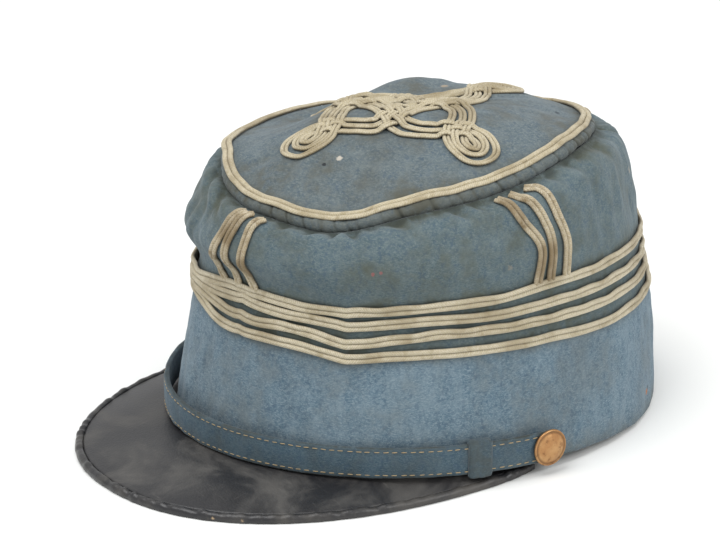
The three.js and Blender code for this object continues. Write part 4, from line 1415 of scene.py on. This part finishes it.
# the rub-and-shade mark is the relief: high places are paler with rubbing, and its hollows are darkened
# with dirt and painted shade
hollow_dirt_and_shade = board.spread(given["Rub and Shade Mark"], -0.1, -1.4)
dirt_and_shade_map = board.times(board.spread(broad, 0.4, 0.66), given["Soiling"])
dirt_and_shade_map = board.times(dirt_and_shade_map, board.spread(patches, 0.3, 0.62, 0.25, 1.0))
dirt_and_shade_map = board.plus(dirt_and_shade_map, board.times(hollow_dirt_and_shade, 0.3))
mark = board.times(given["Soil and Shade Mark"], board.spread(patches, 0.25, 0.6, 0.35, 1.0))
dirt_and_shade = board.math("ADD", dirt_and_shade_map, board.times(mark, 0.75), clamped=True)
# the cloth with its dirt and its painted shade laid on
worn = board.mix(dirt_and_shade, shade, given["Soil and Shade"])
# near black painted shade where the soil-and-shade mark is strong: beside the braids, under the piping
# and at the edge of the top
board.feed(result["Color"], board.layer(worn, mark, 0.35, 1.0, 0.55, (0.022, 0.028, 0.028, 1)))
board.feed(result["Roughness"], board.spread(fibres, 0.3, 0.7, 0.98, 0.86))
height = board.plus(board.times(flecks, 0.6), board.times(fibres, 0.4))
board.feed(result["Normal"], board.bump(height, 0.55, given["Nap Depth"]))

# %% [markdown]
# ## Spots
# Moth holes, pale specks and reddish threads are few and have fixed places, so each is a
# small mask: the distance from a point on the cloth, roughened by noise. The group puts out
# only that mask, and the material decides what colour shows there.

# %% Spot group
spot_inputs = {"Centre": ("vector", (0, 0, 0)), "Radius": ("value", 0.002)}
spot, board, given, result = new_group("small spot", spot_inputs, {"Mask": "value"})
place = board.place()
wobble = board.noise(place, 900.0, 2.0)
away = board.node("ShaderNodeVectorMath", {0: place, 1: given["Centre"]}, operation="DISTANCE")
share = board.math("DIVIDE", away.outputs["Value"], given["Radius"])
share = board.plus(share, board.times(board.math("SUBTRACT", wobble, 0.5), 1.1))
board.feed(result["Mask"], board.spread(share, 1.0, 0.55))


def cloth_place(angle, level):
    """A point of the worn wall in metres, as the finished meshes have it."""
    return tuple(in_metres(on_cloth(np.array([float(angle)]), np.array([float(level)]), 0.0)[0]))


def top_place(x, y):
    return tuple(in_metres(top_above(np.array([float(x)]), np.array([float(y)]))[0]))


def with_spots(board, color, spots):
    """A colour with small spots on it. Each is a place, a radius, a colour and a strength."""
    for centre, radius, spot_color, strength in spots:
        mask = use_group(board, spot, {"Centre": centre, "Radius": radius})["Mask"]
        color = board.mix(board.times(mask, strength), color, spot_color)
    return color


WOOL_SHEEN = {"Sheen Weight": 0.2, "Sheen Roughness": 0.45, "Sheen Tint": (0.75, 0.82, 0.88, 1)}


def wool_material(name, cloth, light, soil_and_shade, soiling, spots=(), nap=0.0004):
    """Felted wool with its own colours and spots."""
    material, board, shader = new_material(name)
    inputs = {"Cloth": cloth, "Light Fibre": light, "Soil and Shade": soil_and_shade, "Soiling": soiling, "Nap Depth": nap}
    inputs.update({"Soil and Shade Mark": board.mark("soil_and_shade"), "Rub and Shade Mark": board.mark("rub_and_shade")})
    wool = use_group(board, felt, inputs)
    color = with_spots(board, wool["Color"], spots)
    wire_surface(board, shader, color, wool, {"Specular IOR Level": 0.12, **WOOL_SHEEN})
    return material


# %% Wool of each piece
RUST, DARK, TAN = (0.32, 0.12, 0.04, 1), (0.02, 0.022, 0.025, 1), (0.45, 0.33, 0.2, 1)
PALE, RED = (0.55, 0.5, 0.42, 1), (0.3, 0.08, 0.08, 1)
band_spots = [
    (cloth_place(129, 8), 0.0016, RUST, 1.0),
    (cloth_place(130, 9.5), 0.0011, DARK, 0.7),
    (cloth_place(31.5, 9), 0.0012, DARK, 0.9),
    (cloth_place(33, 9.5), 0.0010, TAN, 0.9),
    (cloth_place(147, 13), 0.0013, RUST, 0.5),
    (cloth_place(205, 30), 0.0016, DARK, 0.7),
    (cloth_place(285, 22), 0.0015, TAN, 0.6),
]
turban_spots = [
    (cloth_place(46, 86), 0.0009, RED, 0.5),
    (cloth_place(48, 86.4), 0.0008, RED, 0.45),
    (cloth_place(80, 82), 0.0014, TAN, 0.15),
    (cloth_place(140, 95), 0.0018, TAN, 0.4),
]
top_spots = [
    (top_place(14.5, -57.8), 0.0010, DARK, 0.9),
    (top_place(16.7, -52), 0.0015, PALE, 0.7),
    (top_place(-22, 30), 0.0020, TAN, 0.5),
    (top_place(30, 46), 0.0014, DARK, 0.7),
]
WOOLS = {  # cloth, light fibre, the colour of soil and painted shade, how soiled it is, its spots, and its nap where it is deeper
    "band": ((0.064, 0.116, 0.160, 1), (0.20, 0.26, 0.295, 1), (0.10, 0.10, 0.085, 1), 0.35, band_spots),
    "turban": (
        (0.058, 0.093, 0.112, 1), (0.15, 0.185, 0.188, 1), (0.072, 0.08, 0.062, 1), 0.7, turban_spots,
    ),
    "top": ((0.068, 0.096, 0.112, 1), (0.165, 0.195, 0.20, 1), (0.085, 0.085, 0.068, 1), 0.8, top_spots),
    "piping": (
        (0.075, 0.098, 0.105, 1), (0.165, 0.185, 0.18, 1), (0.08, 0.082, 0.067, 1), 0.9, (), 0.0006,
    ),
    "strap": ((0.036, 0.070, 0.100, 1), (0.098, 0.142, 0.168, 1), (0.055, 0.054, 0.040, 1), 0.3),
}
wools = {name: wool_material(f"{name} wool", *row) for name, row in WOOLS.items()}
turban_panels = [f"turban_{end}_{side}" for end in ("front", "back") for side in ("left", "right")]
dress(cloth_band, "blue_cloth", wools["band"], "band")
dress(cloth_turban, "blue_cloth", wools["turban"], *turban_panels)
dress(cloth_top, "blue_cloth", wools["top"], "top")
dress(piping_roll, "blue_cloth", wools["piping"], "top_piping")
dress(strap_body, "strap_cloth", wools["strap"], "chin_strap")
dress(slide_left, "strap_cloth", wools["strap"], "strap_slide_left")
dress(slide_right, "strap_cloth", wools["strap"], "strap_slide_right")

# %% [markdown]
# ## Plaited thread
# The threads of a soutache run slantwise over each core and meet in the groove like the
# barbs of a feather. The lay of the mesh gives millimetres along and across the braid, so a
# wave along it, shifted by the distance from the groove, draws that slant at its real pitch.

# %% Plait group
plait_inputs = {
    "Thread": ("color", (0.55, 0.48, 0.36, 1)),
    "Shadow": ("color", (0.16, 0.12, 0.075, 1)),
    "Grime": ("color", (0.22, 0.18, 0.12, 1)),
    "Groove Mark": ("value", 0.0),
    "Griminess": ("value", 0.5),
}
plait, board, given, result = new_group("plaited thread", plait_inputs, felt_outputs)
lay = board.node("ShaderNodeUVMap", uv_map="lay").outputs[0]
parts = board.node("ShaderNodeSeparateXYZ", {0: lay}).outputs
THREAD_PITCH = 0.95
slant = board.plus(parts[0], board.times(board.math("ABSOLUTE", parts[1]), 0.9))
wave = board.math("SINE", board.times(slant, 2 * math.pi / THREAD_PITCH))
place = board.place()
soft = board.noise(place, 55.0, 3.0)
fine = board.noise(place, 1500.0, 3.0, 0.7)
patch = board.noise(place, 170.0, 4.0, 0.65)
pale_thread = board.mix(0.22, given["Thread"], (1, 0.97, 0.9, 1))
shade = board.mix(board.spread(fine, 0.35, 0.7), given["Thread"], pale_thread)
shade = board.layer(shade, wave, -0.2, -1.0, 0.32, given["Shadow"])  # between two threads
shade = board.layer(shade, soft, 0.42, 0.68, given["Griminess"], given["Grime"])
shade = board.layer(shade, patch, 0.5, 0.74, given["Griminess"], given["Grime"])
shade = board.layer(shade, given["Groove Mark"], 0.2, 0.95, 0.85, given["Shadow"])
board.feed(result["Color"], shade)
board.feed(result["Roughness"], board.spread(fine, 0.3, 0.7, 0.9, 0.7))
height = board.plus(board.times(wave, 0.5), board.times(fine, 0.9))
board.feed(result["Normal"], board.bump(height, 0.6, 0.00022))


def braid_material(name, thread, grime, griminess):
    material, board, shader = new_material(name)
    inputs = {"Thread": thread, "Grime": grime, "Griminess": griminess}
    inputs.update({"Groove Mark": board.mark("groove"), "Shadow": (0.13, 0.10, 0.06, 1)})
    thread_work = use_group(board, plait, inputs)
    shine = {"Specular IOR Level": 0.2, "Sheen Weight": 0.15, "Sheen Roughness": 0.5}
    wire_surface(board, shader, thread_work["Color"], thread_work, shine)
    return material


# %% Braid of each piece
THREADS = {  # thread, grime, and how grimy it is
    "row": ((0.455, 0.40, 0.275, 1), (0.25, 0.20, 0.115, 1), 0.6),
    "upright": ((0.40, 0.335, 0.215, 1), (0.17, 0.12, 0.06, 1), 0.85),
    "knot": ((0.45, 0.39, 0.255, 1), (0.22, 0.17, 0.09, 1), 0.6),
}
row_thread, upright_thread, knot_thread = (
    braid_material(f"{name} braid thread", *row) for name, row in THREADS.items()
)
for row, body in enumerate(row_bodies):
    dress(body, "braid", row_thread, f"braid_row_{row + 1}")
for node, body in upright_bodies.items():
    dress(body, "braid", upright_thread, node)
dress(edge_braid, "braid", knot_thread, "top_braid")
for body in knot_bodies:
    dress(body, "braid", knot_thread, "top_knot")
stitch_thread, board, shader = new_material("stitch thread")
twist = board.noise(board.place(), 1400.0, 2.0)
thread = board.mix(twist, (0.40, 0.31, 0.18, 1), (0.26, 0.19, 0.10, 1))
twisted = board.bump(twist, 0.4, 0.0001)
board.feed_all(shader, {"Base Color": thread, "Normal": twisted, "Roughness": 0.8})
dress(strap_stitches, "strap_cloth", stitch_thread)

# %% [markdown]
# ## Black leather
# The peak is smooth blackened leather with a fine grain, dulled by many small scuffs where the
# black has rubbed grey, and its binding is glossier but chipped to the tan hide in places.
# Grain is cells of a Voronoi pattern in the bump, with fine noise in the roughness, and scuffs
# are thin stretched noise that changes the roughness as well as the colour, which is what makes
# leather look like leather.

# %% Leather group
leather_inputs = {
    "Leather": ("color", (0.016, 0.016, 0.018, 1)),
    "Scuffed": ("color", (0.12, 0.115, 0.105, 1)),
    "Scuffing": ("value", 0.5),
    "Gloss": ("value", 0.35),
}
leather, board, given, result = new_group("scuffed leather", leather_inputs, felt_outputs)
place = board.place()
grain = board.node("ShaderNodeTexVoronoi", {"Vector": place, "Scale": 1100.0}, feature="F1").outputs[0]
fine_grain = board.noise(place, 2600.0, 2.0)
cloudy = board.noise(place, 30.0, 4.0, 0.65, 0.5)
scratch_lay = board.stretched(place, (60.0, 420.0, 60.0), (0.0, 0.0, 0.7))
scratches = board.noise(scratch_lay, 1.0, 4.0, 0.7, 0.4)
second_lay = board.stretched(place, (380.0, 70.0, 60.0), (0.0, 0.0, 0.35))
more_scratches = board.noise(second_lay, 1.0, 4.0, 0.7, 0.4)
scrape = board.spread(scratches, 0.6, 0.78)
scrape = board.math("MAXIMUM", scrape, board.spread(more_scratches, 0.62, 0.8))
worn = board.times(board.spread(cloudy, 0.42, 0.7), 0.75)
worn = board.times(board.plus(worn, board.times(scrape, 0.7)), given["Scuffing"])
shade = board.mix(board.math("MINIMUM", worn, 1.0), given["Leather"], given["Scuffed"])
board.feed(result["Color"], shade)
dull = board.plus(given["Gloss"], board.times(worn, 0.3))
board.feed(result["Roughness"], board.plus(dull, board.times(fine_grain, 0.08)))
height = board.plus(board.times(grain, -0.8), board.times(scrape, -0.35))
board.feed(result["Normal"], board.bump(height, 0.3, 0.00025))


def leather_material(name, scuffing, gloss, scuffed, chips=()):
    material, board, shader = new_material(name)
    inputs = {"Scuffing": scuffing, "Gloss": gloss, "Scuffed": scuffed}
    inputs["Leather"] = (0.014, 0.014, 0.016, 1)
    hide = use_group(board, leather, inputs)
    wire_surface(board, shader, with_spots(board, hide["Color"], chips), hide)
    return material


def binding_place(turn):
    return tuple(in_metres(peak_outline(np.array([float(turn)]))[0] + np.array([0, 0, 1.6])))


CHIPS = {31: 0.0014, 34: 0.001, 38: 0.0013, -20: 0.0012}  # turn round the peak: radius, metres
BARE_HIDE = (0.42, 0.30, 0.17, 1)
binding_chips = [(binding_place(turn), radius, BARE_HIDE, 1.0) for turn, radius in CHIPS.items()]
peak_leather = leather_material("peak leather", 0.85, 0.36, (0.10, 0.095, 0.088, 1))
binding_leather = leather_material("binding leather", 0.6, 0.30, (0.11, 0.10, 0.085, 1), binding_chips)
dress(leather_peak, "black_leather", peak_leather, "peak")
dress(leather_binding, "black_leather", binding_leather, "peak_binding")

# %% [markdown]
# ## Brass
# The buttons are plain stamped brass that has turned copper brown. Bare metal still shines
# where fingers polish it, on the crown and the rim, and the turned edge holds dark dirt.

# %% Brass
brass, board, shader = new_material("worn brass")
place = board.place()
spotted = board.noise(place, 420.0, 4.0, 0.7)
cloud = board.noise(place, 150.0, 3.0)
edge_mark = board.mark("edge")
moat = board.times(board.spread(edge_mark, 0.74, 0.86), board.spread(edge_mark, 0.97, 0.88))
metal = board.mix(board.spread(cloud, 0.38, 0.66), (0.40, 0.205, 0.085, 1), (0.50, 0.29, 0.13, 1))
metal = board.layer(metal, spotted, 0.52, 0.7, 0.7, (0.22, 0.11, 0.05, 1))
metal = board.mix(board.times(moat, 0.6), metal, (0.10, 0.05, 0.025, 1))
tarnish = board.plus(board.times(board.spread(spotted, 0.4, 0.7), 0.25), 0.36)
brass_skin = {"Base Color": metal, "Metallic": 0.85, "Roughness": tarnish}
board.feed_all(shader, {**brass_skin, "Normal": board.bump(spotted, 0.2, 0.0002)})
dress(button_left, "brass", brass, "button_left")
dress(button_right, "brass", brass, "button_right")

# %% [markdown]
# ## Sizes and finish
# The looks may not grow the part. Both boxes are kept, and how far the visible one reaches
# beyond the imported one is printed, so that the two can be compared after every change.

# %% Sizes
visual_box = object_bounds()
boxes = {
    "cad": [[float(v) for v in corner] for corner in cad_box],
    "visual": [[float(v) for v in corner] for corner in visual_box],
}
growth = [
    round((abs(boxes["visual"][end][axis]) - abs(boxes["cad"][end][axis])) * 1000, 1)
    for end in (0, 1)
    for axis in range(3)
]
print("visible box beyond the packed box, mm", growth)
